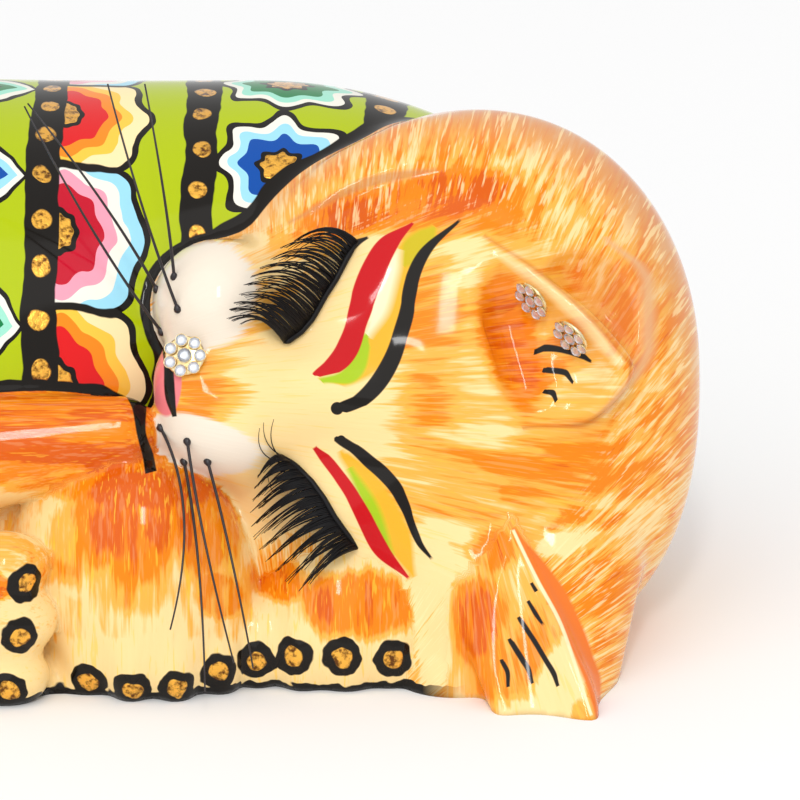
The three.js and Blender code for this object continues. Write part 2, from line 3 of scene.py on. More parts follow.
import bpy
import numpy as np
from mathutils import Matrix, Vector


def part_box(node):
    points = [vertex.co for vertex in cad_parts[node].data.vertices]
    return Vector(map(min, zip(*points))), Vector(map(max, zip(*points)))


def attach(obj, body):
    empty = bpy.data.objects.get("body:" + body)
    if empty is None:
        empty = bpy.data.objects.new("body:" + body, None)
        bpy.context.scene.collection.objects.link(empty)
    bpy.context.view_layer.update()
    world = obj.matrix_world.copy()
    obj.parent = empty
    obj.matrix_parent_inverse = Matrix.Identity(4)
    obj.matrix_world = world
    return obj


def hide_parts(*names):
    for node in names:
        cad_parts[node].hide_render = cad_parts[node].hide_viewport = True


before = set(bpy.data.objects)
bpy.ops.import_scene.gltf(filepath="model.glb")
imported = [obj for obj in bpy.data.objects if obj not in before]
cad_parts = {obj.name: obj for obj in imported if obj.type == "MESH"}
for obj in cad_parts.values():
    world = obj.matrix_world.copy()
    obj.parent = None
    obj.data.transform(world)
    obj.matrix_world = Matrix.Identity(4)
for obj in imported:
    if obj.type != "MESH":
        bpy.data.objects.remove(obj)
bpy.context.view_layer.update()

# The cat's body: one hollow casting of papier-mache, built up in paste and paper over a mould, then
# sanded and sealed. It sleeps on its side, with its cheek, an ear, its paws and its flank on the table.
# Sizes are in millimetres on the form's own axes: X from tail to crown, Y to the back, Z up.
UNDER_MIDDLE = np.array([2.3, -0.3, 0.0])  # the point of the form over the part's origin
LEAN = math.radians(18)  # how far the face leans back from upright
FACE_MIDDLE = np.array([72.0, -30.0, 48.0])  # between the brows
RIGHT = np.array([1.0, 0.0, 0.0])
UP = np.array([0.0, math.sin(LEAN), math.cos(LEAN)])
OUT = np.array([0.0, -math.cos(LEAN), math.sin(LEAN)])
FACE_AXES = np.array([RIGHT, UP, OUT])


def to_face(points):
    """The same places across the face, up it and straight out of it."""
    return (points - FACE_MIDDLE) @ FACE_AXES.T


def from_face(across, up, out):
    return FACE_MIDDLE + across * RIGHT + up * UP + out * OUT


def ball(points, centre, half, axis=0, degrees=0):
    """Distance to an ellipsoid, turned about one axis where it isn't square."""
    local = points - centre
    if degrees:
        first, second = (axis + 1) % 3, (axis + 2) % 3
        cos, sin = math.cos(math.radians(degrees)), math.sin(math.radians(degrees))
        turned = cos * local[..., first] - sin * local[..., second]
        local[..., second] = sin * local[..., first] + cos * local[..., second]
        local[..., first] = turned
    scaled = local / half
    near = np.sqrt((scaled * scaled).sum(-1))
    slope = np.sqrt(((scaled / half) ** 2).sum(-1))
    return near * (near - 1) / np.maximum(slope, 1e-9)


def limb(points, start, end, start_radius, end_radius):
    """Distance to a tapered limb with round ends."""
    along = np.subtract(end, start)
    share = np.clip((points - start) @ along / (along @ along), 0, 1)
    offset = points - start - share[..., None] * along
    return np.sqrt((offset * offset).sum(-1)) - (start_radius + (end_radius - start_radius) * share)


def join(first, second, reach):
    """The union of two forms, with the crease between them filled over a reach."""
    overlap = np.maximum(reach - np.abs(first - second), 0) / reach
    return np.minimum(first, second) - overlap * overlap * reach / 4


def carve(form, tool, reach):
    return -join(-form, tool, reach)


def common(first, second, reach):
    return -join(-first, -second, reach)


def ramp(value, low, high):
    share = np.clip((value - low) / (high - low), 0, 1)
    return share * share * (3 - 2 * share)


def flap(points, outline, top, floor, reach):
    """A flap over a convex outline in the face plane, below a slanting top that three points give."""
    outline, top = np.array(outline, float), np.array(top, float)
    slant = np.cross(top[1] - top[0], top[2] - top[0])
    slant *= np.sign(slant[2]) / np.linalg.norm(slant)
    form = common((points - top[0]) @ slant, floor - points[..., 2], reach)
    middle = outline.mean(0)
    for corner, following in zip(outline, np.roll(outline, -1, axis=0)):
        edge = (following - corner) / np.linalg.norm(following - corner)
        side = np.array([edge[1], -edge[0]])
        if side @ (middle - corner) > 0:
            side = -side
        form = common(form, (points[..., :2] - corner) @ side, reach)
    return form


def trunk(points):
    """Chest, belly, rump, thigh, the filling behind the paws and the flat foot under it all."""
    form = ball(points, (45, 22, 45), (67, 46, 47))
    form = join(form, ball(points, (-20, 15, 46.5), (70, 54, 47.5)), 20)
    form = join(form, ball(points, (-68, 10, 42), (55, 56, 45)), 16)
    form = join(form, ball(points, (-66, -26, 34), (44, 34, 34)), 8)
    form = join(form, limb(points, (-25, -28, 18), (42, -22, 20), 14, 14), 6)
    return join(form, ball(points, (-5, 0, 0), (110, 53, 13)), 6)


def toes(points, form, middle, span, bow, half):
    """A row of four toes across a paw, bowed forward in the middle."""
    for toe in range(4):
        across = (toe - 1.5) / 1.5
        place = np.add(middle, (span * across, bow * across * across, 0))
        form = join(form, ball(points, place, half), 3)
    return form


def upper_foreleg(points):
    return limb(points, (-40, -35, 34.5), (22, -38, 44.5), 17.5, 6.5)


def lower_foreleg(points):
    form = ball(points, (26.5, -41, 15), (18, 15, 25), 0, -8)
    form = join(form, ball(points, (22, -38, 20), (21, 15, 20)), 6)
    form = join(form, ball(points, (28, -40, 12), (17, 16.5, 14)), 6)
    return toes(points, form, (28, -51, 5.5), 11.7, 4, (4.9, 7.5, 9))


def cheek_paw(points):
    form = ball(points, (61, -37, 8), (16.5, 15, 18), 0, -10)
    return toes(points, form, (58.5, -46, 6), 12, 1.5, (5.2, 7, 9))


def hind_foot(points):
    """The foot lies on its side with its toes one above another."""
    form = limb(points, (-60, -46, 15), (-4, -48, 14.5), 16, 13)
    for toe in range(3):
        forward = 3 if toe == 1 else 1.5
        form = join(form, ball(points, (forward, -53.5 + 1.5 * toe, 4 + 10 * toe), (8, 7, 5.8)), 3)
    return form


def tail(points):
    form = limb(points, (-108, 10, 12), (-100, -40, 11), 13, 12)
    form = join(form, limb(points, (-100, -40, 11), (-66, -58, 10), 12, 10), 6)
    return join(form, limb(points, (-66, -58, 10), (-30, -61, 8.5), 10, 8), 6)


def skull(face):
    """The skull with its cheeks and the fold of fur over the upper cheek."""
    form = ball(face, (9, 0, -28), (42, 51.5, 33))
    form = join(form, ball(face, (19.5, 9, -24), (34, 41.5, 28)), 12)
    form = join(form, ball(face, (23, -13, -24), (27.5, 31, 26)), 10)
    form = join(form, ball(face, (-2, -1, -13), (38, 40, 19)), 10)
    form = join(form, ball(face, (-12, -21, -9), (22, 16, 15), 2, -20), 8)
    form = join(form, limb(face, (8, -30, -8), (10, -50, -2), 13, 11), 8)
    across, up = face[..., 0] - 10, face[..., 1] - 2
    radius, angle = np.hypot(across, up), np.degrees(np.arctan2(up, across))
    along = ramp(angle, 82, 104) * (1 - ramp(angle, 148, 166))
    return form - 2.6 * ramp(radius, 38.5, 42) * along * ramp(face[..., 2], -24, -12)


def features(face, form):
    """The closed eyelids, the bridge of the nose, the two whisker pads and the nose."""
    form = join(form, ball(face, (-13, 20, -3), (14, 9.5, 8.5), 2, -57), 5)
    form = join(form, ball(face, (-13, -19, -3), (14, 9.5, 8.5), 2, 54), 5)
    form = join(form, limb(face, (-6, 1, 1), (-36, 3, 8.5), 8, 6), 8)
    upper_pad = ball(face, (-32.5, 17, 1), (12, 12, 13))
    lower_pad = ball(face, (-31.5, -5, 2.5), (13, 10, 13))
    form = join(form, join(upper_pad, lower_pad, 4), 7)
    return join(form, ball(face, (-39.5, 3.5, 6.5), (4.5, 6.5, 7)), 2)


def upper_ear(face, form):
    """The ear stands up in front of a pocket in the fur, and is cupped along its long edge."""
    form = carve(form, ball(face, (34.5, 14.5, 5), (12.3, 16, 11), 2, 22), 1.5)
    outline = [(14, 30.5), (35.5, 15.5), (42.6, 6), (41, 1.5), (33, -5), (20, -6.5)]
    ear = flap(face, outline, [(14.5, 30, 4.5), (43, 5, 9.5), (20, -6.5, 5)], -12, 2.5)
    form = join(form, join(ear, ball(face, (17, 18, -6), (12, 15, 11)), 4), 2)
    form = carve(form, limb(face, (18.8, 19.5, 7.5), (31.5, 5, 11), 4.6, 6.2), 2.5)
    return carve(form, limb(face, (19.5, 14, 5.5), (22.5, 3, 7.5), 4.5, 4), 2.5)


def lower_ear(face, form):
    """The other ear fans out from its root down to the table, with a ridge along its far edge."""
    outline = [(19.5, -19), (36, -54), (36, -60), (32, -75), (24, -75), (11, -42)]
    ear = flap(face, outline, [(19.5, -19, 7), (37.5, -58, 20), (10, -56, 16.5)], -14, 3)
    form = join(form, join(ear, limb(face, (28, -30, -9), (26, -56, 1), 16, 12), 4), 3)
    form = carve(form, limb(face, (20.5, -25, 11.5), (24, -58, 29.5), 3, 12.5), 2)
    return join(form, limb(face, (13, -26, 0.5), (12.5, -42, 4), 6, 6.5), 2.5)


def head(points):
    face = to_face(points)
    return lower_ear(face, upper_ear(face, features(face, skull(face))))


def legs(points):
    fore = join(join(upper_foreleg(points), lower_foreleg(points), 2), cheek_paw(points), 1.5)
    return np.minimum(fore, join(hind_foot(points), tail(points), 3))


def cat(points):
    """The whole form, straight below the table so that it can be cut flat there."""
    above = points * (1, 1, 0) + np.maximum(points[..., 2:], 0) * (0, 0, 1)
    return join(join(trunk(above), legs(above), 2.5), head(above), 2)


LOW, HIGH = np.array([-128.0, -72.0, 0.0]), np.array([130.0, 74.0, 97.0])
PITCH = 1.15  # the mesh's spacing
COARSE = 4  # how many spacings one step of the first, coarse look takes
NEAR = 1.6  # how many coarse steps from the surface the form is still worked out exactly
SLOPE_STEP = 0.05  # how far apart two depths are read for a slope
LEAST_SLOPE = 0.2  # the square of a slope, below which a vertex is moved less
# The twelve edges of a grid cell: the axis that each runs along, and its place on the other two.
EDGES = [(axis, first, second) for axis in range(3) for first in (0, 1) for second in (0, 1)]


def depths():
    """The form's depth at each grid corner: exact near its surface, and only its sign elsewhere."""
    low = LOW - (0, 0, PITCH / 2)
    blocks = np.ceil((HIGH - low) / (PITCH * COARSE)).astype(int) + 1
    corners = np.indices(blocks).reshape(3, -1).T
    rough = cat(low + (corners + 0.5) * PITCH * COARSE)
    near = np.abs(rough) < PITCH * COARSE * NEAR
    depth = np.repeat(np.repeat(np.repeat(rough.reshape(blocks), COARSE, 0), COARSE, 1), COARSE, 2)
    inner = np.indices((COARSE,) * 3).reshape(3, -1).T
    exact = (corners[near][:, None] * COARSE + inner).reshape(-1, 3)
    depth[tuple(exact.T)] = cat(low + exact * PITCH)
    depth[:, :, 0] = np.abs(depth[:, :, 0])
    return low, depth


def settle(vertices, on_table, rim):
    """Moves vertices onto the surface, and those of the underside onto the table."""
    for _ in range(2):
        vertices[on_table, 2] = 0
        depth = cat(vertices)
        slope = np.stack([(cat(vertices + SLOPE_STEP * axis) - depth) / SLOPE_STEP for axis in np.eye(3)], -1)
        slope[on_table, 2] = 0
        reach = np.clip(depth / np.maximum((slope * slope).sum(-1), LEAST_SLOPE), -PITCH, PITCH)
        reach[on_table & ~rim] = 0
        vertices -= slope * reach[:, None]
    return vertices


def cat_surface():
    """One vertex in each grid cell that the surface crosses, and a quad around each crossed edge."""
    low, depth = depths()
    inside = depth < 0
    count = sum(
        inside[i:inside.shape[0] - 1 + i, j:inside.shape[1] - 1 + j, k:inside.shape[2] - 1 + k].astype(int)
        for i in (0, 1) for j in (0, 1) for k in (0, 1)
    )
    cells = np.argwhere((count > 0) & (count < 8))
    total, crossings = np.zeros(cells.shape), np.zeros(len(cells))
    rim = np.zeros(len(cells), bool)
    for axis, first, second in EDGES:
        start = cells.copy()
        start[:, (axis + 1) % 3] += first
        start[:, (axis + 2) % 3] += second
        end = start.copy()
        end[:, axis] += 1
        before, after = depth[tuple(start.T)], depth[tuple(end.T)]
        crossed = (before < 0) != (after < 0)
        share = np.where(crossed, before / np.where(crossed, before - after, 1), 0)
        point = start + share[:, None] * np.eye(3)[axis]
        total += point * crossed[:, None]
        crossings += crossed
        rim |= crossed & (axis != 2) & (start[:, 2] == 1)
    on_table = cells[:, 2] == 0
    vertices = settle(low + total / crossings[:, None] * PITCH, on_table, rim & on_table)
    vertex_of = np.full(inside.shape, -1)
    vertex_of[tuple(cells.T)] = np.arange(len(cells))
    quads = []
    for axis in range(3):
        forward = np.moveaxis(inside, axis, 0)
        crossed = np.moveaxis(forward[:-1] != forward[1:], 0, axis)
        starts = np.argwhere(crossed)
        starts = starts[(np.delete(starts, axis, 1) > 0).all(1)]
        ring = []
        for back, down in ((0, 0), (1, 0), (1, 1), (0, 1)):
            cell = starts.copy()
            cell[:, (axis + 1) % 3] -= back
            cell[:, (axis + 2) % 3] -= down
            ring.append(vertex_of[tuple(cell.T)])
        ring = np.stack(ring, -1)
        leaving = inside[tuple(starts.T)]
        quads.append(np.where(leaving[:, None], ring, ring[:, ::-1]))
    return vertices, np.concatenate(quads)


def new_piece(name, vertices, faces, slot):
    """A smooth mesh piece on the part's one body. Its places are given on the form's axes."""
    mesh = bpy.data.meshes.new(name)
    mesh.from_pydata(((vertices - UNDER_MIDDLE) / 1000).tolist(), [], faces)
    mesh.polygons.foreach_set("use_smooth", np.ones(len(mesh.polygons), bool))
    mesh.update()
    piece = bpy.data.objects.new(name, mesh)
    bpy.context.scene.collection.objects.link(piece)
    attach(piece, "root")
    return piece


def keep(piece, name, values):
    """Numbers or vectors of the piece's vertices, for its paint to read."""
    kind, field = ("FLOAT", "value") if values.ndim == 1 else ("FLOAT_VECTOR", "vector")
    made = piece.data.attributes.new(name, kind, "POINT")
    made.data.foreach_set(field, values.astype(np.float32).ravel())


cat_vertices, cat_quads = cat_surface()
cat_piece = new_piece("cat_painted", cat_vertices, cat_quads.tolist(), "painted_lacquer")
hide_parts("cat")

# Where each paint goes. The painter works over the dry, primed casting: a black line parts the painted
# coat from the ginger fur of the head and limbs, and the fur's strokes follow the way hair would grow.
# coat_edge grows from below 0 in the fur to above 0 on the coat.
IN_FUR = -1.0  # what coat_edge is at most behind the upper foreleg, where the trunk lies deep
x, y, z = cat_vertices.T
trunk_depth, legs_depth, head_depth = trunk(cat_vertices), legs(cat_vertices), head(cat_vertices)
cat_face = to_face(cat_vertices)
across_face, up_face, out_face = cat_face.T
coat_edge = np.minimum(legs_depth, head_depth) - trunk_depth
under_foreleg = (across_face < -52) & (up_face < -13) & (out_face > -30)
coat_edge[under_foreleg] = np.minimum(coat_edge[under_foreleg], IN_FUR)
keep(cat_piece, "coat_edge", coat_edge)
keep(cat_piece, "face", cat_face)

# The coat's own axes: how far along the trunk, and how far round it from the top of its back.
GIRTH_MIDDLE = (14.0, 32.0)  # Y and Z of the trunk's middle line
GIRTH = 46.0  # its mean radius
RUMP, CHEST = -70.0, 45.0  # where the trunk starts to round off at each end
girth_y, girth_z = y - GIRTH_MIDDLE[0], z - GIRTH_MIDDLE[1]
girth_radius = np.hypot(girth_y, girth_z)
past_rump = GIRTH * np.arctan2(np.maximum(RUMP - x, 0), girth_radius)
past_chest = GIRTH * np.arctan2(np.maximum(x - CHEST, 0), girth_radius)
along_trunk = np.clip(x, RUMP, CHEST) - past_rump + past_chest
keep(cat_piece, "coat", np.stack([along_trunk, GIRTH * np.arctan2(girth_y, girth_z), girth_radius], -1))

# The fur's axes: two across the hair and the third along it. Within the face the hair runs back from
# the nose, down the lower ear to its tip, and round the rim of the head it stands up from the chin.
# On the hanging legs it falls, and on the lying limbs it runs along them.
NOSE_ROOT, CHIN_ROOT, EAR_ROOT = (-75.0, 1.0, -28.0), (-18.0, -72.0, -28.0), (10.0, 0.0, -28.0)
NOSE_REACH, CHIN_REACH, EAR_REACH = 90.0, 100.0, 45.0


def hair_from(root, reach):
    """Hair that grows out over the head from a root on the face's axes, with so much reach."""
    from_root = cat_face - root
    spread = np.hypot(from_root[:, 0], from_root[:, 1])
    across = reach * from_root[:, :2] / np.maximum(spread, 1)[:, None]
    return np.concatenate([across, spread[:, None]], 1)


on_head = head_depth < legs_depth

# The lower ear's fan lies before the ridge of its far edge and below its root.
before_ridge = across_face < 12.0 - 0.42 * up_face
below_root = up_face < 1.2 * across_face - 45.0
on_fan = on_head & before_ridge & below_root & (across_face > 8.0)

head_hair = np.where(on_fan[:, None], hair_from(EAR_ROOT, EAR_REACH), hair_from(NOSE_ROOT, NOSE_REACH))
lying = np.minimum(np.minimum(upper_foreleg(cat_vertices), hind_foot(cat_vertices)), tail(cat_vertices))
hanging = np.minimum(lower_foreleg(cat_vertices), cheek_paw(cat_vertices))
falling = np.stack([x, 0.2 * y, z - y], -1)
leg_hair = np.where((lying < hanging)[:, None], cat_vertices[:, [2, 1, 0]], falling)
keep(cat_piece, "hair", np.where(on_head[:, None], head_hair, leg_hair))
keep(cat_piece, "rim_hair", hair_from(CHIN_ROOT, CHIN_REACH))

# How deep the ginger is, from cream at 0 to burnt orange at 1: washes at places on the face's axes,
# each with its middle, half size, turn in degrees, depth and how softly it ends. Some of them deepen
# the tone as painted shade, where marked.
HEAD_TONE = 0.4
HEAD_WASHES = [
    ((-15, 0), (15, 12), 0, -0.55, 0.8),  # between the eyes
    ((-31, -0.5), (8.5, 4.3), 0, 0.27, 0.9),  # bridge of the nose
    ((-12, 16), (17, 6), 55, -0.6, 0.8),  # upper lid
    ((-11, -20), (18, 6), -50, -0.6, 0.8),  # lower lid
    ((-22, 29), (8, 9), 0, -0.2, 0.8),  # upper cheek
    # painted shade: the next wash deepens the valley under the fold of the cheek
    ((2, 35.5), (20, 4.5), 12, 0.5, 0.6),  # under the fold of the cheek
    ((-14, 31), (9, 5), 20, 0.2, 0.8),
    ((17, 34), (8, 6), 0, 0.2, 0.8),
    ((13, 25), (4, 7), 0, -0.2, 0.8),  # before the ear
    ((5, 16), (6, 12), 0, 0.15, 0.8),
    ((15, -1), (6, 8), 0, -0.18, 0.9),  # forehead
    ((2, -2), (8, 5), 0, 0.1, 0.8),
    ((22, -12), (16, 5), 0, 0.14, 0.8),
    ((35.5, -12.5), (9, 5), 0, 0.13, 0.6),  # patch on the crown
    ((47, -12), (5, 12), 0, 0.05, 0.8),
    ((33.5, -21.8), (7, 2), 5, 0.35, 0.4),
    ((30, -25), (6, 2.2), 20, -0.45, 0.5),
    ((41, -21), (7, 3), 10, -0.2, 0.6),
    ((33, -33), (8, 6), 20, 0.2, 0.5),
    ((39, -42), (4, 7), -20, 0.2, 0.6),
    ((8, -27), (8, 5), 0, -0.35, 0.8),
    ((19.5, 11.5), (4.5, 12), 12, 0.5, 0.9),  # the upper ear's hollow
    ((33, 3), (8, 6), 30, -0.06, 0.8),  # the upper ear's blade
    ((28, 8), (8, 3), 60, 0.25, 0.6),
    # painted shade: the next two washes deepen the pocket behind the upper ear
    ((38, 20), (8, 9), 30, 0.1, 0.8),  # pocket behind it
    ((42, 12), (4, 8), 0, 0.1, 0.6),
    ((16, -27), (3.8, 3.4), 0, 0.5, 0.9),  # roll at the lower ear's root
    ((13.7, -39), (4.8, 7), -8, 0.55, 0.8),
    ((6, -38), (3.5, 14), 0, -0.5, 0.6),
    ((21, -46), (4, 11), -30, 0.2, 0.6),  # the lower ear's fan
    ((28.5, -50), (4, 9), -25, -0.45, 0.5),
    ((18, -56), (12, 3), 0, -0.3, 0.6),
    ((-24, -14), (8, 11), 20, -0.5, 0.8),  # lower cheek
    ((-9, -33), (8, 3), -20, 0.1, 0.8),
]
LEG_TONE = 0.13
LEG_WASHES = [
    ((-60, -2.5), (42, 8.5), 0, 0.8, 0.3),  # upper foreleg
    ((-58, -13), (30, 4.5), -5, 0.5, 0.6),
    ((-55, -11.5), (1.8, 1.5), 0, 0.4, 0.2),
    ((-47, -21.5), (8.6, 9.5), 0, 0.75, 0.8),  # lower foreleg
    ((-57.5, -25), (4.8, 7.5), 0, 0.4, 0.7),
    ((-34, -21.5), (5.4, 10.5), 0, 0.65, 0.8),
    ((-32, -35), (4, 4), 20, 0.45, 0.4),
    ((-46, -34), (7, 4), 0, 0.25, 0.8),
    ((-71.5, -33), (2.5, 2.5), 0, 0.7, 0.2),
    ((-66, -29), (8, 3), -20, 0.3, 0.6),  # hind foot
    ((-40, -48), (45, 5), 0, -0.3, 0.6),  # ends of the toes
    ((-6.5, -36.5), (11, 5.8), 0, 0.75, 0.7),  # paw under the cheek
    ((-22, -32), (5, 3.8), -20, 0.75, 0.8),
]
MUZZLE_WASHES = [  # how white the whisker pads are
    ((-35, 19), (9.5, 10), 0, 1.0, 0.7),
    ((-40, 12), (5, 6), 0, 1.0, 0.7),
    ((-37.5, -8), (10, 5.5), -12, 1.0, 0.6),
    ((-29, -9), (7, 4), -10, 0.5, 0.8),
]
HIDDEN_LYING, HIDDEN_HANGING = 0.6, 0.45  # the tone of the limbs where the washes end, behind


def washed(tone, washes):
    """A tone for each vertex of the cat, with the washes laid over it."""
    for (across, up), (half_across, half_up), degrees, depth, softness in washes:
        cos, sin = math.cos(math.radians(degrees)), math.sin(math.radians(degrees))
        offset = cat_face[:, :2] - (across, up)
        reach = np.hypot((offset @ (cos, sin)) / half_across, (offset @ (-sin, cos)) / half_up)
        tone = tone + depth * (1 - ramp(reach, 1 - softness / 2, 1 + softness / 2))
    return tone


seen_side = ramp(out_face, -42, -20)
head_tone = HEAD_TONE + (washed(HEAD_TONE, HEAD_WASHES) - HEAD_TONE) * seen_side
hidden_leg = np.where(lying < hanging, HIDDEN_LYING, HIDDEN_HANGING)
leg_tone = hidden_leg + (washed(LEG_TONE, LEG_WASHES) - hidden_leg) * ramp(out_face, -40, -24)
keep(cat_piece, "tone", np.where(on_head, head_tone, leg_tone))
keep(cat_piece, "muzzle", washed(0.0, MUZZLE_WASHES) * on_head * seen_side)
keep(cat_piece, "limb", 1.0 * (~on_head & (hanging < lying)))

# The outer part of the face, away from the muzzle and the lower ear, and the rim at its edge.
from_middle = np.hypot((across_face - 8) / 45, (up_face - 1) / 50)
on_muzzle = (1 - ramp(across_face, -20, -8)) * (1 - ramp(np.abs(up_face - 3), 23, 30))
round_face = on_head * ~on_fan * (1 - on_muzzle)
keep(cat_piece, "outer", ramp(from_middle, 0.6, 0.76) * round_face)
# the rim's mask carries the painted sheen along the head's edge
keep(cat_piece, "rim", ramp(from_middle, 0.86, 1.06) * ramp(up_face, -30, 30) * round_face)

# The ginger fur: acrylic washes over a cream ground, brushed dry so that every hair of the brush
# shows, and then the make-up, the nose, the pads of the toes and the strokes inside the ears. Clear
# lacquer goes over all of it.


class Shade:
    """A number, vector or colour in a material's nodes. Sums and comparisons add their nodes."""

    def __init__(self, tree, socket):
        self.tree = tree
        self.socket = socket

    def node(self, kind, settings=None, inputs=None, output=0):
        """One more node: its settings first, then the values or links of its sockets."""
        made = self.tree.nodes.new(kind)
        for name, value in (settings or {}).items():
            if name == "stops":
                fill_ramp(made.color_ramp, value)
            else:
                setattr(made, name, value)
        for name, value in (inputs or {}).items():
            if isinstance(value, Shade):
                self.tree.links.new(value.socket, made.inputs[name])
            else:
                made.inputs[name].default_value = value
        return Shade(self.tree, made.outputs[output]) if made.outputs else None

    def math(self, operation, *values):
        return self.node("ShaderNodeMath", {"operation": operation}, dict(enumerate(values)))

    def vector(self, operation, other, output=0):
        return self.node("ShaderNodeVectorMath", {"operation": operation}, {0: self, 1: other}, output)

    def __add__(self, other):
        return self.math("ADD", self, other)

    def __radd__(self, other):
        return self.math("ADD", other, self)

    def __sub__(self, other):
        return self.math("SUBTRACT", self, other)

    def __rsub__(self, other):
        return self.math("SUBTRACT", other, self)

    def __mul__(self, other):
        return self.math("MULTIPLY", self, other)

    def __rmul__(self, other):
        return self.math("MULTIPLY", other, self)

    def __truediv__(self, other):
        return self.math("DIVIDE", self, other)

    def __neg__(self):
        return self.math("MULTIPLY", self, -1.0)

    def __abs__(self):
        return self.math("ABSOLUTE", self)

    def __and__(self, other):
        """Where both masks hold."""
        return self.math("MINIMUM", self, other)

    def __or__(self, other):
        """Where either mask holds."""
        return self.math("MAXIMUM", self, other)

    def __gt__(self, other):
        return self.math("GREATER_THAN", self, other)

    def part(self, axis):
        """One axis of a vector."""
        return self.node("ShaderNodeSeparateXYZ", None, {0: self}, axis)

    def rise(self, low, high):
        """0 below low, 1 above high and a straight climb between them."""
        return self.node("ShaderNodeMapRange", {"clamp": True}, {0: self, 1: low, 2: high})

    def noise(self, scale, detail=2.0, roughness=0.5, output=0):
        """Noise of a vector in millimetres, with so many cells to the millimetre."""
        settings = {"Scale": scale, "Detail": detail, "Roughness": roughness}
        return self.node("ShaderNodeTexNoise", None, {"Vector": self, **settings}, output)


def fill_ramp(ramp_data, stops):
    """Sets a ramp's stops, each as (place, colour). The first entry says how it goes between them."""
    ramp_data.interpolation = stops[0]
    for index, (place, colour) in enumerate(stops[1:]):
        stop = ramp_data.elements[index] if index < 2 else ramp_data.elements.new(place)
        stop.position = place
        stop.color = colour


def hue(code):
    """A paint's colour as linear light, from its six-digit code."""
    shares = [int(code[i:i + 2], 16) / 255 for i in (0, 2, 4)]
    return (*[s / 12.92 if s <= 0.04045 else ((s + 0.055) / 1.055) ** 2.4 for s in shares], 1.0)


def over(below, above, mask):
    """A colour laid over another one where a mask says so."""
    return mask.node("ShaderNodeMix", {"data_type": "RGBA"}, {0: mask, 6: below, 7: above}, 2)


def inside(distance, blur=0.1):
    """A mask of where a distance in millimetres is below zero, with a soft edge."""
    return distance.rise(blur, -blur)


def new_paint(name):
    """An empty material, and the first shade to work from."""
    material = bpy.data.materials.new(name)
    material.use_nodes = True
    material.node_tree.nodes.clear()
    return material, Shade(material.node_tree, None)


def kept(paint, name, output="Vector"):
    """What keep() left on the piece's vertices."""
    return paint.node("ShaderNodeAttribute", {"attribute_name": name}, None, output)


def whereabouts(paint):
    """Places on the piece, in millimetres on the form's own axes."""
    from_origin = paint.node("ShaderNodeTexCoord", None, None, 3).vector("MULTIPLY", (1000,) * 3)
    return from_origin.vector("ADD", tuple(UNDER_MIDDLE))


def surfaced(paint, settings):
    """Ends a material in one surface with these settings of the Principled shader."""
    surface = paint.node("ShaderNodeBsdfPrincipled", None, settings)
    paint.node("ShaderNodeOutputMaterial", None, {"Surface": surface})


def lacquered(paint, colour, roughness, metallic, height):
    """Clear lacquer over paint and leaf, with the relief of what lies under it in millimetres."""
    relief = paint.node("ShaderNodeBump", None, {"Strength": 1.0, "Distance": 0.001, "Height": height})
    surfaced(paint, {
        "Base Color": colour, "Roughness": roughness, "Metallic": metallic, "Normal": relief,
        "Specular IOR Level": 0.0, "Coat Weight": 1.0, "Coat Roughness": 0.08, "Coat IOR": 1.31})


CREAM, APRICOT, GINGER, BURNT = hue("f8d898"), hue("f5b048"), hue("ee8410"), hue("d75c08")
BLACK, IVORY = hue("17130f"), hue("ecdfcd")
LEAF, LEAF_DARK = hue("ffbe4a"), hue("6a3c05")
LEAF_RELIEF = 0.25
PAINT_SPREAD = 0.22  # how far wet paint runs out past the brush on each side
WIDEST = 4.0  # the widest half stroke that a colour ramp's stop can hold
SWERVE = 0.25  # how far a stroke may swerve to each side, as a share of its length


def gold_leaf(place):
    """Crumpled metal leaf: its colour and its relief in millimetres."""
    crumple = place.noise(0.8, 3.0, 0.6)
    return over(LEAF_DARK, LEAF, crumple.rise(0.36, 0.54)), crumple * LEAF_RELIEF


fur_material, fur = new_paint("ginger_fur_paint")
face = kept(fur, "face")
tone, outer, rim = kept(fur, "tone", "Fac"), kept(fur, "outer", "Fac"), kept(fur, "rim", "Fac")
limb_mask, muzzle = kept(fur, "limb", "Fac"), kept(fur, "muzzle", "Fac")
edge_of_coat = kept(fur, "coat_edge", "Fac")


def stroke(points, blur=0.1):
    """The mask of one brush stroke on the face, from places and half widths along it."""
    start, end = np.array(points[0][:2]), np.array(points[-1][:2])
    length = np.linalg.norm(end - start)
    along = (end - start) / length
    side = np.array([-along[1], along[0]])
    reach = SWERVE * length
    stops = ["CARDINAL"]
    for across, up, half in points:
        offset = np.array([across, up]) - start
        swerve = 0.5 + float(offset @ side) / reach / 2
        stops.append((float(offset @ along) / length, (swerve, half / WIDEST, 0, 1)))
    share = face.vector("DOT_PRODUCT", (*(along / length), 0), 1) - float(start @ along) / length
    sideways = face.vector("DOT_PRODUCT", (*side, 0), 1) - float(start @ side)
    course = share.node("ShaderNodeValToRGB", {"stops": stops}, {0: share})
    middle = (course.part(0) - 0.5) * (2 * reach)
    width = course.part(1) * WIDEST
    ends = share.rise(-0.01, 0.0) & share.rise(1.01, 1.0) & width.rise(0.0, 0.05)
    return inside(abs(sideways - middle) - width - PAINT_SPREAD, blur) & ends


def brushed(across, along, detail=2.0):
    """Noise drawn out along the hair, so many cells to the millimetre across and along it."""
    inner_hair, outer_hair = [
        kept(fur, hair_name).vector("MULTIPLY", (across, across, cells)).noise(1.0, detail, 0.6) - 0.5
        for hair_name, cells in (("hair", along), ("rim_hair", 1.6 * along))
    ]
    return inner_hair + (outer_hair - inner_hair) * outer


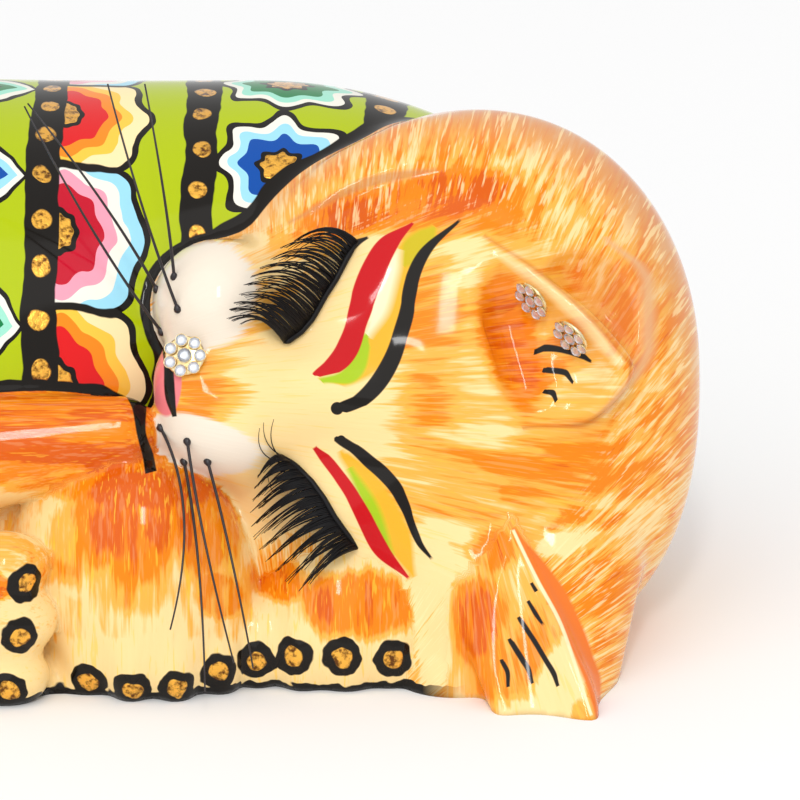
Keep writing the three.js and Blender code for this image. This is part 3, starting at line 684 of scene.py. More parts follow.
wisps = brushed(1.1, 0.09)
bristles = brushed(2.8, 0.12)
sweeps = brushed(0.4, 0.04)
patches = brushed(0.16, 0.05, 1.0)
hand = 0.6 + 0.6 * outer  # how hard the painter presses
brush_marks = (wisps + bristles * 0.6) * hand + sweeps * 0.8
depth = tone + brush_marks + patches.rise(-0.02, 0.02) * 0.14 - 0.07
FUR_STOPS = ["LINEAR", (0.0, CREAM), (0.16, CREAM), (0.33, APRICOT), (0.45, APRICOT), (0.62, GINGER),
             (0.84, GINGER), (1.0, BURNT)]
colour = depth.node("ShaderNodeValToRGB", {"stops": FUR_STOPS}, {0: depth})


def oval(middle, half_across, half_up, blur=0.05):
    """The mask of an oval on the face."""
    offset = face.vector("SUBTRACT", (*middle, 0)).vector("MULTIPLY", (1 / half_across, 1 / half_up, 0))
    return inside(offset.vector("LENGTH", (0, 0, 0), 1) - 1.0, blur)


# Fine cream hairs drawn over the washes, most of them round the rim of the head, and a few sunny ones on
# the limbs. Round the rim of the head a rosy painted sheen stands in for the lacquer's reflection at the
# edge.
RIM_SHEEN, PALE_HAIR, SUNNY_HAIR = hue("dd9560"), hue("ffe2a6"), hue("ffc93e")
hairs = brushed(1.5, 0.1)
# painted reflection: a rosy sheen round the rim of the head
colour = over(colour, RIM_SHEEN, rim * 0.8)
pocket = oval((40.5, 14.0), 8.0, 13.0, 0.3)
colour = over(colour, PALE_HAIR, hairs.rise(0.05, 0.12) * (0.12 + 0.55 * outer * (1 - 0.7 * pocket)))
colour = over(colour, SUNNY_HAIR, (-hairs).rise(0.1, 0.16) * (0.3 + 0.25 * limb_mask) * (1 - outer))

# The strip down the lower ear, and painted light and shade on the folds: pale painted highlights on the
# lower ear's ridge and the upper ear's lip, a painted reflection on the lip of the pocket behind the upper
# ear, brown painted shade lines along the upper ear's edges and the cheek's fold, and painted shade in the
# pocket. Each stroke is a row of places on the face with the brush's half width at each.
STRIP, LIP_HIGHLIGHT, POCKET_LIP_REFLECTION, FOLD_SHADE, EDGE_SHADE = hue("ee7a2c"), hue("ffe9b8"), hue("e2b083"), hue("c98a5c"), hue("b4591c")
EAR_STRIP = [(20.4, -23.0, 0.1), (23.0, -27.4, 0.9), (27.0, -33.3, 1.5), (30.8, -40.9, 1.6),
             (32.9, -46.0, 1.4), (34.6, -51.0, 1.2), (35.2, -56.0, 0.4)]
EAR_RIDGE = [(20.3, -23.4, 0.05), (25.0, -33.1, 0.1), (29.0, -40.9, 0.1), (33.8, -55.6, 0.05)]
EAR_RIM = [(41.3, 6.6, 0.1), (41.0, 3.0, 0.15), (37.7, -1.0, 0.2), (32.0, -4.4, 0.15), (22.0, -5.0, 0.05)]
EAR_EDGE = [(15.2, 29.4, 0.05), (22.0, 25.0, 0.1), (29.3, 19.2, 0.1), (36.0, 12.4, 0.1), (41.3, 6.3, 0.05)]
EAR_LIP = [(17.0, 26.6, 0.1), (22.0, 23.3, 0.7), (29.3, 17.4, 0.9), (35.2, 11.2, 0.9), (39.6, 6.3, 0.3)]
POCKET_LIP = [(37.1, 29.3, 0.2), (42.8, 24.9, 0.8), (46.1, 17.6, 1.1), (45.9, 12.1, 1.1), (42.3, 4.2, 0.7),
              (36.9, -2.2, 0.2)]
CHEEK_LIP = [(-20.0, 32.0, 0.1), (-9.0, 38.0, 0.6), (-1.0, 40.4, 0.7), (6.5, 41.6, 0.1)]
front = face.part(2).rise(-22, -20)  # nothing of these goes on round the back
# painted shade in the pocket behind the upper ear
colour = over(colour, FOLD_SHADE, oval((39.5, 17.0), 5.5, 8.5, 0.6) * 0.4)
colour = over(colour, STRIP, stroke(EAR_STRIP, 0.3) & front)
# a painted highlight along the lower ear's ridge
colour = over(colour, LIP_HIGHLIGHT, stroke(EAR_RIDGE) & front)
# painted highlights and a painted reflection on the lips, and painted shade lines along the ears' edges and
# the cheek's fold
for fold_line, paint, strength, blur in (
        (EAR_RIM, EDGE_SHADE, 0.6, 0.4), (EAR_LIP, LIP_HIGHLIGHT, 0.55, 0.6), (EAR_EDGE, EDGE_SHADE, 0.5, 0.4),
        (POCKET_LIP, POCKET_LIP_REFLECTION, 0.75, 0.9), (CHEEK_LIP, FOLD_SHADE, 0.6, 0.4)):
    colour = over(colour, paint, (stroke(fold_line, blur) & front) * strength)

# The white muzzle and the pink nose.
NOSE_PINK = hue("ee8186")
colour = over(colour, IVORY, (muzzle + wisps * 0.9).rise(0.35, 0.65))
colour = over(colour, NOSE_PINK, oval((-41.6, 3.4), 2.8, 6.3))

# Eye make-up: a yellow and a green field on each lid, a red band and a black brow, and a painted highlight of
# pale cream down the upper lid.
RED, SUN, LEMON, OLIVE = hue("c40410"), hue("f0b02c"), hue("c9b41a"), hue("a6c41c")
LID_HIGHLIGHT = hue("fff0cc")
UPPER_FIELD = [(6.2, 31.0, 0.3), (5.0, 29.6, 1.6), (1.4, 25.6, 2.4), (-1.1, 18.9, 2.3), (-2.9, 12.6, 2.3),
               (-5.8, 6.8, 2.2), (-10.8, 3.1, 0.9), (-14.0, 3.6, 0.2)]
UPPER_TOP = [(6.2, 31.0, 0.3), (5.0, 29.6, 1.5), (2.4, 26.6, 2.2), (0.6, 24.0, 0.3)]
UPPER_GREEN = [(-5.9, 11.6, 0.3), (-6.2, 10.4, 1.0), (-7.2, 6.9, 1.4), (-9.9, 3.9, 1.2), (-14.0, 3.4, 0.4)]
# a painted highlight down the upper lid, between the red band and the yellow field
UPPER_LID_HIGHLIGHT = [(-0.2, 27.0, 0.1), (-1.4, 24.6, 1.2), (-2.6, 20.9, 1.6), (-4.0, 15.6, 1.3), (-6.0, 11.4, 0.4)]
UPPER_RED = [(2.4, 31.9, 0.0), (-1.4, 28.8, 1.3), (-4.3, 24.1, 2.0), (-6.7, 18.0, 2.05), (-7.9, 13.5, 1.75),
             (-9.5, 9.0, 1.8), (-12.2, 5.8, 1.4), (-14.9, 4.5, 0.5), (-15.4, 4.4, 0.0)]
UPPER_BROW = [(11.0, 32.6, 0.0), (5.2, 27.4, 0.65), (2.2, 21.6, 1.1), (1.4, 16.7, 1.2), (-0.3, 10.4, 1.25),
              (-3.2, 4.1, 1.35), (-7.2, -0.2, 1.2), (-10.6, -1.6, 1.0), (-11.8, -1.9, 0.0)]
LOWER_FIELD = [(-10.6, -9.2, 0.2), (-9.9, -9.9, 0.7), (-6.8, -13.1, 1.6), (-4.0, -17.5, 2.0),
               (-1.8, -21.6, 2.2), (0.4, -26.6, 1.9), (2.4, -31.6, 0.2)]
LOWER_GREEN = [(-9.0, -12.2, 0.3), (-6.5, -16.6, 0.9), (-4.3, -20.7, 0.9), (-2.5, -25.2, 0.5),
               (-1.4, -27.9, 0.1)]
LOWER_RED = [(-15.2, -8.6, 0.2), (-13.5, -10.3, 0.7), (-10.8, -13.7, 0.85), (-8.3, -17.5, 1.0),
             (-5.8, -22.3, 1.25), (-2.9, -27.4, 1.1), (1.6, -32.0, 0.0)]
LOWER_BROW = [(-11.6, -6.6, 0.0), (-11.0, -6.9, 0.6), (-8.3, -8.6, 0.75), (-4.9, -11.5, 1.0),
              (-2.0, -14.2, 1.0), (0.0, -17.1, 0.9), (1.6, -20.9, 0.6), (3.3, -25.2, 0.4), (5.8, -28.6, 0.0)]
EYELINER = [(-5.6, 29.3, 0.0), (-7.6, 28.3, 0.4), (-9.4, 26.8, 0.7), (-10.5, 25.5, 0.6)]
for field, paint, strength, blur in (
        (UPPER_FIELD, SUN, 1.0, 0.5), (UPPER_TOP, LEMON, 1.0, 0.5), (UPPER_LID_HIGHLIGHT, LID_HIGHLIGHT, 0.85, 0.9),
        (UPPER_GREEN, OLIVE, 1.0, 0.4), (UPPER_RED, RED, 1.0, 0.1), (LOWER_FIELD, SUN, 1.0, 0.5),
        (LOWER_GREEN, OLIVE, 1.0, 0.6), (LOWER_RED, RED, 1.0, 0.1)):
    colour = over(colour, paint, stroke(field, blur) * strength)

# Black brushwork: brows, the line of the mouth, the chin's outline and the ears' strokes.
MOUTH = [(-41.9, 9.5, 0.4), (-41.2, 5.8, 0.6), (-41.0, 2.3, 0.75), (-40.7, -0.4, 0.6), (-40.1, -2.9, 0.2)]
CHIN = [(-48.0, 1.3, 0.9), (-46.6, -1.1, 1.0), (-46.1, -5.6, 0.6), (-45.1, -9.5, 0.7), (-44.3, -12.8, 0.8)]
UPPER_EAR_STROKES = [
    [(24.1, 8.6, 0.3), (25.8, 9.3, 0.45), (29.3, 8.9, 0.3), (33.1, 7.7, 0.3), (34.4, 6.8, 0.0)],
    [(25.6, 5.4, 0.2), (26.2, 5.4, 0.35), (29.3, 5.0, 0.35), (30.2, 4.3, 0.3), (31.0, 3.1, 0.1)],
    [(25.7, 1.6, 0.2), (26.3, 1.5, 0.3), (27.4, 1.2, 0.35), (28.0, -0.2, 0.2)],
]
LOWER_EAR_STROKES = [
    [(23.4, -32.6, 0.08), (24.3, -34.1, 0.15)],
    [(22.8, -35.8, 0.1), (24.3, -38.3, 0.18), (25.6, -40.2, 0.0)],
    [(21.1, -38.7, 0.1), (21.6, -39.4, 0.22), (23.6, -42.4, 0.25), (26.0, -46.4, 0.25), (27.4, -48.8, 0.25),
     (28.0, -50.7, 0.1)],
    [(19.4, -42.5, 0.1), (19.9, -43.2, 0.25), (21.9, -46.4, 0.3), (22.9, -48.1, 0.25), (23.5, -50.3, 0.1)],
    [(18.0, -46.1, 0.1), (18.3, -46.7, 0.2), (19.1, -48.4, 0.2), (19.2, -50.9, 0.1)],
]
brushwork = oval((-11.2, -1.5), 1.15, 1.15) | oval((-10.5, -7.1), 0.8, 0.8)  # the brows' ends
for black_stroke in (UPPER_BROW, LOWER_BROW, EYELINER, MOUTH, CHIN, *UPPER_EAR_STROKES, *LOWER_EAR_STROKES):
    brushwork = brushwork | stroke(black_stroke)
brushwork = brushwork & front

# Toe pads: a spot of gold leaf on a black disc at each toe.
TOE_PADS = [(-66.2, -32.6), (-67.2, -42.2), (-69.4, -51.9), (-55.7, -50.3), (-47.6, -51.9), (-39.6, -51.5),
            (-32.3, -48.6), (-25.7, -46.8), (-19.2, -45.9), (-10.3, -46.1), (-1.2, -46.5)]
PAD, PAD_LEAF = 3.6, 1.85  # how far the black and the leaf reach from a pad's middle
AHEAD = 45.0  # in front of the whole face, where the way down to its surface starts
STEPS, STEP_SHARE = 80, 0.6  # how much of the distance that is left each step takes


def on_face(places, height=0.0):
    """The surface's points in front of places on the face, raised by a height."""
    across, up = np.array(places, float).T[:, :, None]
    out = np.full_like(across, AHEAD)
    for _ in range(STEPS):
        out -= STEP_SHARE * cat(from_face(across, up, out))[:, None]
    return from_face(across, up, out + height)


place = whereabouts(fur)
pad_distances = [place.vector("DISTANCE", tuple(pad_middle), 1) for pad_middle in on_face(TOE_PADS)]
pad_distance = pad_distances[0]
for other_distance in pad_distances[1:]:
    pad_distance = pad_distance & other_distance
unsteady = place.noise(0.35, 1.0) * 1.8 - 0.9  # how an edge wavers
pad_distance = pad_distance + unsteady
pad_leaf = inside(pad_distance - PAD_LEAF)
brushwork = brushwork | inside(pad_distance - PAD)

# Black along the table under the paws, and the line that parts the fur from the coat.
FOOT_LINE, PAWS_END = 1.7, 8.0
COAT_LINE = -0.25
under_edge = inside(place.part(2) + unsteady * 2.0 - FOOT_LINE) & inside(face.part(0) - PAWS_END, 4.0)
brushwork = brushwork | under_edge | inside(COAT_LINE - edge_of_coat)

FUR_RELIEF = 0.05
leaf_colour, leaf_relief = gold_leaf(place)
colour = over(over(colour, BLACK, brushwork), leaf_colour, pad_leaf)
lacquered(fur, colour, 0.4, pad_leaf, pad_leaf * leaf_relief + wisps * FUR_RELIEF)
cat_piece.data.materials.append(fur_material)

# The painted coat.
# Flat enamel colours inside raised black outlines, with gold leaf laid into some of the fields, under
# the same lacquer. Rings of rosettes, leaves and fans go round the trunk, parted by rows of gold beads.
coat_material, coat = new_paint("coat_paint")
LIME = hue("b0c20c")
BLUE, SKY, WHITE = hue("0b4ea6"), hue("9edcf2"), hue("f2efe2")
TEAL, MINT = hue("0b7d43"), hue("9fe3cb")
SCARLET, ORANGE, YOLK, BUTTER = hue("dd1b1e"), hue("f68b1c"), hue("fbc846"), hue("fde6ae")
CRIMSON, ROSE = hue("c4122c"), hue("f2a0b4")
RING, BEADS = 28.0, 5.0  # from one ring to the next, and how much of that its beads take
FIELD = RING - BEADS
FIRST_RING = -46.0
CELL = 2 * math.pi * GIRTH / 12  # one motif's share of the way round
CELL_SHIFT = 0.37  # how far each ring's motifs are turned against the last ring's
FIRST_LINE, LAST_LINE = 0.5, 0.6  # the black lines along a ring's edges

spot = kept(coat, "coat")
sway = spot.noise(0.11, 2.0, 0.5, 1).vector("SUBTRACT", (0.5, 0.5, 0.5)).vector("MULTIPLY", (3, 3, 0))
spot = spot.vector("ADD", sway)
along, around = spot.part(0) - FIRST_RING, spot.part(1)
ring_number = coat.math("FLOOR", along / RING)
ring_kind = coat.math("FLOORED_MODULO", ring_number, 3.0)
in_ring = coat.math("FLOORED_MODULO", along, RING)
across = in_ring - FIELD / 2
shifted = around + ring_number * CELL_SHIFT * CELL
odd_cell = coat.math("FLOORED_MODULO", coat.math("FLOOR", shifted / CELL), 2.0)
in_cell = coat.math("FLOORED_MODULO", shifted, CELL) - CELL / 2


def hypotenuse(first, second):
    return coat.math("SQRT", first * first + second * second)


# Each motif in its two colourings: the distance at which each paint starts. Leaf shows in its middle.
ROSETTE_EYE, FAN_EYE, LEAF_VEIN = 2.6, 3.0, 1.0
BLUE_ROSETTE = [(0, LEAF), (ROSETTE_EYE, BLACK), (3.5, BLUE), (6.3, SKY), (8.2, WHITE), (9.6, BLACK),
                (10.8, LIME)]
GREEN_ROSETTE = [(0, LEAF), (ROSETTE_EYE, BLACK), (3.5, TEAL), (6.3, MINT), (8.2, WHITE), (9.6, BLACK),
                 (10.8, LIME)]
RED_FAN = [(0, LEAF), (FAN_EYE, BLACK), (4.0, SCARLET), (8.2, ORANGE), (10.4, YOLK), (12.4, BUTTER),
           (15.2, BLACK), (16.4, LIME)]
ROSE_FAN = [(0, LEAF), (FAN_EYE, BLACK), (4.0, CRIMSON), (8.2, ROSE), (10.6, WHITE), (12.8, SKY),
            (15.2, BLACK), (16.4, LIME)]
GREEN_LEAF = [(0, LEAF), (LEAF_VEIN, BLACK), (1.9, TEAL), (4.6, MINT), (7.0, WHITE), (9.0, BLACK),
              (10.4, LIME)]
BLUE_LEAF = [(0, LEAF), (LEAF_VEIN, BLACK), (1.9, BLUE), (4.6, SKY), (7.0, WHITE), (9.0, BLACK),
             (10.4, LIME)]
FURTHEST = 20.0  # the distance at the end of a motif's ramp
SIDE_LINE, SIDE_LINE_END = 0.7, 16.0  # half the black line between two fans, and where it ends
DOT_EDGE, DOT = 3.0, 2.0  # the red dots between the leaves, with and without their black edge


def motif(reach, *colourings):
    """A motif's colour at a distance from its middle. Its two colourings take turns round the trunk."""
    ramps = []
    for colouring in colourings:
        stops = [(start / FURTHEST, paint) for start, paint in colouring]
        ramps.append(coat.node("ShaderNodeValToRGB", {"stops": ["CONSTANT", *stops]}, {0: reach / FURTHEST}))
    return over(*ramps, odd_cell)


petals = coat.math("COSINE", coat.math("ARCTAN2", in_cell, across) * 8.0)
rosette_reach = hypotenuse(across, in_cell) * (1 - 0.11 * petals)
rosette = motif(rosette_reach, BLUE_ROSETTE, GREEN_ROSETTE)
scallops = coat.math("COSINE", coat.math("ARCTAN2", in_cell, in_ring) * 9.0)
fan_reach = hypotenuse(in_ring, in_cell) * (1 - 0.05 * scallops)
fan = motif(fan_reach, RED_FAN, ROSE_FAN)
side_line = inside(CELL / 2 - SIDE_LINE - abs(in_cell)) & inside(fan_reach - SIDE_LINE_END)
fan = over(fan, BLACK, side_line)
leaf_reach = abs(in_cell) * 1.35 + across * across * 0.078
leaf_shape = motif(leaf_reach, GREEN_LEAF, BLUE_LEAF)
dot_reach = hypotenuse(CELL / 2 - abs(in_cell), across)
leaf_shape = over(leaf_shape, BLACK, inside(dot_reach - DOT_EDGE))
leaf_shape = over(leaf_shape, SCARLET, inside(dot_reach - DOT))
is_leaf, is_fan = ring_kind > 0.5, ring_kind > 1.5
colour = over(over(rosette, leaf_shape, is_leaf), fan, is_fan)
lines = inside(in_ring - FIRST_LINE) | inside(FIELD - LAST_LINE - in_ring)
colour = over(colour, BLACK, lines)

# Gold leaf in the motifs' middles and in the beads, which stand between two black lines.
BEAD = 1.7
bead_cell = coat.math("FLOORED_MODULO", around, CELL / 3) - CELL / 6
bead = inside(hypotenuse(in_ring - (RING - BEADS / 2), bead_cell) - BEAD)
eyes = over(inside(rosette_reach - ROSETTE_EYE), inside(leaf_reach - LEAF_VEIN), is_leaf)
eyes = over(eyes, inside(fan_reach - FAN_EYE), is_fan)

# A black border runs along the fur and the table, and every black line stands up from the enamel.
FUR_BORDER, TABLE_BORDER = 1.0, 7.0
OUTLINE_RELIEF = 0.35
WORN_FROM = 0.8  # coat_edge where the coat's material starts, within the border
uneven_edge = kept(coat, "coat_edge", "Fac") - spot.noise(0.12, 1.0) * 2.6
border = inside(uneven_edge - FUR_BORDER) | inside(whereabouts(coat).part(2) - TABLE_BORDER)
leaf_mask = ((eyes & (1 - lines)) | bead) & (1 - border)
colour = over(colour, BLACK, border)
outlines = colour.vector("LENGTH", (0, 0, 0), 1).rise(0.12, 0.04)
leaf_colour, leaf_relief = gold_leaf(kept(coat, "face"))
relief = leaf_mask * leaf_relief + outlines * OUTLINE_RELIEF
lacquered(coat, over(colour, leaf_colour, leaf_mask), 0.35, leaf_mask, relief)
cat_piece.data.materials.append(coat_material)
wears_coat = coat_edge[cat_quads].mean(1) > WORN_FROM
cat_piece.data.polygons.foreach_set("material_index", wears_coat.astype(np.int32))

# The whiskers.
# Eight black nylon bristles, four to a pad, pushed into drilled holes. A drop of black glue holds
# each of them, and some of it stands up around the root.
BRISTLE, BRISTLE_TIP = 0.62, 0.3  # widths
BRISTLE_SET = 3.6  # how deep a bristle is pushed in
WHISKER_LIFT = 6.0  # how far its bow stands out from the face
WHISKER_BOW = 0.4  # the share of the way along where that is
GLUE_DROP = [(-0.7, 0.4), (-0.3, 0.76), (0.15, 0.72), (0.55, 0.5), (0.9, 0.28)]  # (along it, radius)
WHISKERS = {  # root and tip on the face, how far out the tip stands, and how far the bow swings aside
    "upper": [((-40.3, 22.0), (-45.4, 56.2), 13, 0.5), ((-39.6, 16.2), (-52.0, 56.2), 13, -0.5),
              ((-43.6, 19.8), (-66.4, 52.9), 10, 1.0), ((-42.7, 12.2), (-67.0, 52.4), 10, -1.0)],
    "lower": [((-42.7, -5.0), (-40.5, -40.5), 23, -3.5), ((-37.8, -7.4), (-29.3, -46.4), 22, 0.5),
              ((-38.5, -11.0), (-34.4, -51.5), 22, -1.0), ((-34.2, -11.0), (-25.9, -47.3), 22, -0.5)],
}


def bow(start, middle, end, steps):
    """Points along a curve from start to end that is drawn towards a middle point."""
    share = np.linspace(0, 1, steps + 1)[:, None]
    return (1 - share) ** 2 * start + 2 * share * (1 - share) * middle + share ** 2 * end


def tube_faces(rings, sides, closed=False):
    """Quads from each ring of a tube to the next, and from the last to the first where it closes."""
    def corner(ring, side):
        return ring % rings * sides + side % sides

    return [(corner(ring, s), corner(ring + 1, s), corner(ring + 1, s + 1), corner(ring, s + 1))
            for ring in range(rings if closed else rings - 1) for s in range(sides)]


def rod(points, radii, sides):
    """The vertices and faces of a round rod through points, closed at both ends."""
    along = np.gradient(points, axis=0)
    along /= np.linalg.norm(along, axis=1, keepdims=True)
    side = np.cross(along, OUT)
    side /= np.linalg.norm(side, axis=1, keepdims=True)
    rise = np.cross(side, along)
    turn = 2 * math.pi * np.arange(sides)[:, None, None] / sides
    radii = np.asarray(radii, float)[:, None]
    rings = points + (side * np.cos(turn) + rise * np.sin(turn)) * radii
    faces = tube_faces(len(points), sides)
    last = (len(points) - 1) * sides
    faces.append(tuple(range(sides)))
    faces.append(tuple(reversed(range(last, last + sides))))
    return rings.transpose(1, 0, 2).reshape(-1, 3), faces


def together(parts):
    """Several sets of vertices and faces as one."""
    vertices, faces, count = [], [], 0
    for part_vertices, part_faces in parts:
        vertices.append(part_vertices)
        faces += [tuple(count + corner for corner in face_corners) for face_corners in part_faces]
        count += len(part_vertices)
    return np.concatenate(vertices), faces


def one_finish(name, settings):
    """A material that is the same all over."""
    material, paint = new_paint(name)
    surfaced(paint, settings)
    return material


NYLON = hue("231c20")
bristle_material = one_finish("black_nylon", {"Base Color": NYLON, "Roughness": 0.3})
for pad_name, whiskers in WHISKERS.items():
    for number, (root, tip, tip_out, sideways) in enumerate(whiskers, 1):
        start, end = on_face([root])[0], from_face(*tip, tip_out)
        side = np.cross(OUT, end - start)
        side /= np.linalg.norm(side)
        middle = start + WHISKER_BOW * (end - start) - 2 * sideways * side + WHISKER_LIFT * OUT
        inward = (middle - start) / np.linalg.norm(middle - start)
        line = np.concatenate([[start - inward * BRISTLE_SET], bow(start, middle, end, 20)])
        thickness = np.linspace(BRISTLE, BRISTLE_TIP, len(line))
        drop_line = np.array([start + inward * reach for reach, _ in GLUE_DROP])
        drop = rod(drop_line, [radius for _, radius in GLUE_DROP], 12)
        whisker = new_piece(f"bristle_{pad_name}_{number}", *together([rod(line, thickness / 2, 8), drop]),
                            "whisker_bristle")
        whisker.data.materials.append(bristle_material)
        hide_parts(f"whisker_{pad_name}_{number}")

# The eyelashes.
# A pair of false lashes: fine black hairs knotted to a band in bunches that taper together, and
# glued by the band along the painted edge of each closed lid.
LASH_LIFT = 1.1  # the band's middle over the lid
LASHES = {  # places along the band and along the hairs' tips; loose hairs by root, bow and tip
    "upper": {
        "band": [(-20.6, 10.2), (-19.8, 10.6), (-17.6, 12.2), (-15.6, 14.6), (-13.4, 18.6), (-11.5, 21.5),
                 (-9.3, 25.8), (-7.6, 28.4)],
        "tips": [(-30.8, 13.6), (-30.0, 15.8), (-28.8, 17.6), (-27.6, 20.0), (-26.0, 22.2), (-24.0, 24.6),
                 (-21.0, 27.4), (-17.4, 29.2)],
        "arch": 4.6, "bunches": 10, "loose": [],
    },
    "lower": {
        "band": [(-21.0, -9.9), (-18.4, -12.0), (-15.8, -14.6), (-13.6, -17.6), (-11.7, -20.9), (-9.8, -23.6),
                 (-7.6, -26.5)],
        "tips": [(-25.0, -12.6), (-26.0, -16.4), (-26.6, -20.4), (-26.0, -24.6), (-24.0, -28.4),
                 (-20.8, -31.8), (-16.6, -34.6)],
        "arch": 2.4, "bunches": 11,
        "loose": [[(-20.5, -10.2), (-24.6, -8.5), (-24.2, -4.0)],
                  [(-20.9, -10.6), (-24.0, -8.0), (-22.4, -3.4)],
                  [(-20.0, -11.4), (-26.2, -10.6), (-24.9, -5.0)],
                  [(-19.4, -13.2), (-24.4, -11.4), (-23.4, -14.8)],
                  [(-18.6, -14.0), (-24.8, -13.4), (-22.6, -16.6)]],
    },
}
BAND, HAIR, LOOSE_HAIR, HAIR_TIP = 0.55, 0.23, 0.14, 0.05  # half widths
HAIRS_IN_BUNCH = 8
BUNCH_SPREAD, TIP_SPREAD = 0.62, 0.007  # shares of a bunch and of the whole row
HAIR_BOW, HAIR_LIFT = 0.45, 4.5  # where along its length a hair bows, and how far out
TIP_LIFT, LOOSE_LIFT = 3.0, 1.5  # over the face
LONGEST, RAGGED = 1.03, 0.3  # how far the hairs reach towards the tips' line, and how unevenly
chance = np.random.default_rng(7)


def along_places(places, shares):
    """Places at shares of the way along a row of places."""
    row = np.array(places, float)
    steps = np.linspace(0, 1, len(row))
    return np.stack([np.interp(shares, steps, row[:, axis]) for axis in (0, 1)], -1)


LASH_BLACK = hue("0c0a0c")
lash_material = one_finish("lash_hair", {
    "Base Color": LASH_BLACK, "Roughness": 0.5, "Specular IOR Level": 0.25})
for lid, lash in LASHES.items():
    bunches = lash["bunches"]
    shares = np.linspace(0, 1, 25)
    band_taper = np.minimum(1, 0.35 + 6 * np.minimum(shares, 1 - shares))
    hairs = [rod(on_face(along_places(lash["band"], shares), LASH_LIFT), BAND * band_taper, 6)]
    bunch_shares = np.repeat((np.arange(bunches) + 0.5) / bunches, HAIRS_IN_BUNCH)
    fanned = np.tile(np.linspace(-BUNCH_SPREAD, BUNCH_SPREAD, HAIRS_IN_BUNCH), bunches) / bunches
    tip_shares = bunch_shares + chance.normal(0, TIP_SPREAD, len(bunch_shares))
    roots = on_face(along_places(lash["band"], np.clip(bunch_shares + fanned, 0, 1)), LASH_LIFT)
    tips = on_face(along_places(lash["tips"], tip_shares), TIP_LIFT)
    tips = roots + (tips - roots) * (LONGEST - RAGGED * chance.uniform(0, 1, len(roots)) ** 2)[:, None]
    middles = roots + HAIR_BOW * (tips - roots) + OUT * HAIR_LIFT + UP * lash["arch"]
    for root, middle, tip in zip(roots, middles, tips):
        hairs.append(rod(bow(root, middle, tip, 9), np.linspace(HAIR, HAIR_TIP, 10), 4))
    for places in lash["loose"]:
        hairs.append(rod(bow(*on_face(places, LOOSE_LIFT), 12), np.linspace(LOOSE_HAIR, HAIR_TIP, 13), 4))
    lash_piece = new_piece(f"lash_{lid}", *together(hairs), "lash_hair")
    lash_piece.data.materials.append(lash_material)
    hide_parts(f"eyelash_{lid}")

# The rhinestone flowers.
# Cast gilt settings, one on the nose and two in the upper ear, each with seven foil-backed crystal
# chatons around an eighth. The stones are set from the front and held by the rims of their cups.
PETALS = 7
STONE, MIDDLE_STONE = 2.16, 2.6  # widths
STONE_HEIGHT, STONE_RING = 0.95, 2.83
STONE_CUT = [(0, 0.02), (0.45, 0.04), (1, 0.34), (0.97, 0.42), (0.72, 0.74), (0.45, 0.88), (0, 0.9)]
FACETS, STONE_TURN = 8, 0.4  # each stone lies turned further, by so many radians
GIRDLE = 0.36  # below it a stone is foiled
CUP_RIM, CUP_HEIGHT = 0.09, 0.3  # the rim's wire, and how far over the setting's plate it stands
CLEARANCE = 0.02  # between a stone and its cup
SETTING_HEIGHT, GLUE_GAP = 0.7, 0.3
PLATE = [(0, 0), (2.9, 0.0), (3.5, 0.15), (3.6, 0.5), (3.3, SETTING_HEIGHT), (0, SETTING_HEIGHT)]
FLOWERS = {  # which way each one looks: across the face, up it and out of it
    "nose": (-0.15, 0.2, 1.0), "ear_inner": (-0.72, -0.56, 0.42), "ear_outer": (-0.66, -0.62, 0.42)}


def ring_of(count, radius, turn=0.0):
    angles = turn + 2 * math.pi * np.arange(count) / count
    return np.stack([radius * np.cos(angles), radius * np.sin(angles)], -1)


def turned_solid(profile, sides, turn=0.0):
    """A closed solid from rings of (radius, height), with a point wherever the radius is 0."""
    vertices, faces, rings = [], [], []
    for radius, height in profile:
        corners = ring_of(sides if radius else 1, radius, turn)
        rings.append([len(vertices) + s % len(corners) for s in range(sides + 1)])
        vertices += [(x, y, height) for x, y in corners]
    for low, high in zip(rings, rings[1:]):
        for s in range(sides):
            faces.append(tuple(dict.fromkeys((low[s], low[s + 1], high[s + 1], high[s]))))
    return np.array(vertices), [face_corners for face_corners in faces if len(face_corners) > 2]


def cup_ring(radius, sides=20, wire_sides=6):
    """The thin rim that is pressed down around a stone."""
    vertices = [(x * (radius + far), y * (radius + far), height)
                for x, y in ring_of(sides, 1.0) for far, height in ring_of(wire_sides, CUP_RIM)]
    return np.array(vertices), tube_faces(sides, wire_sides, closed=True)


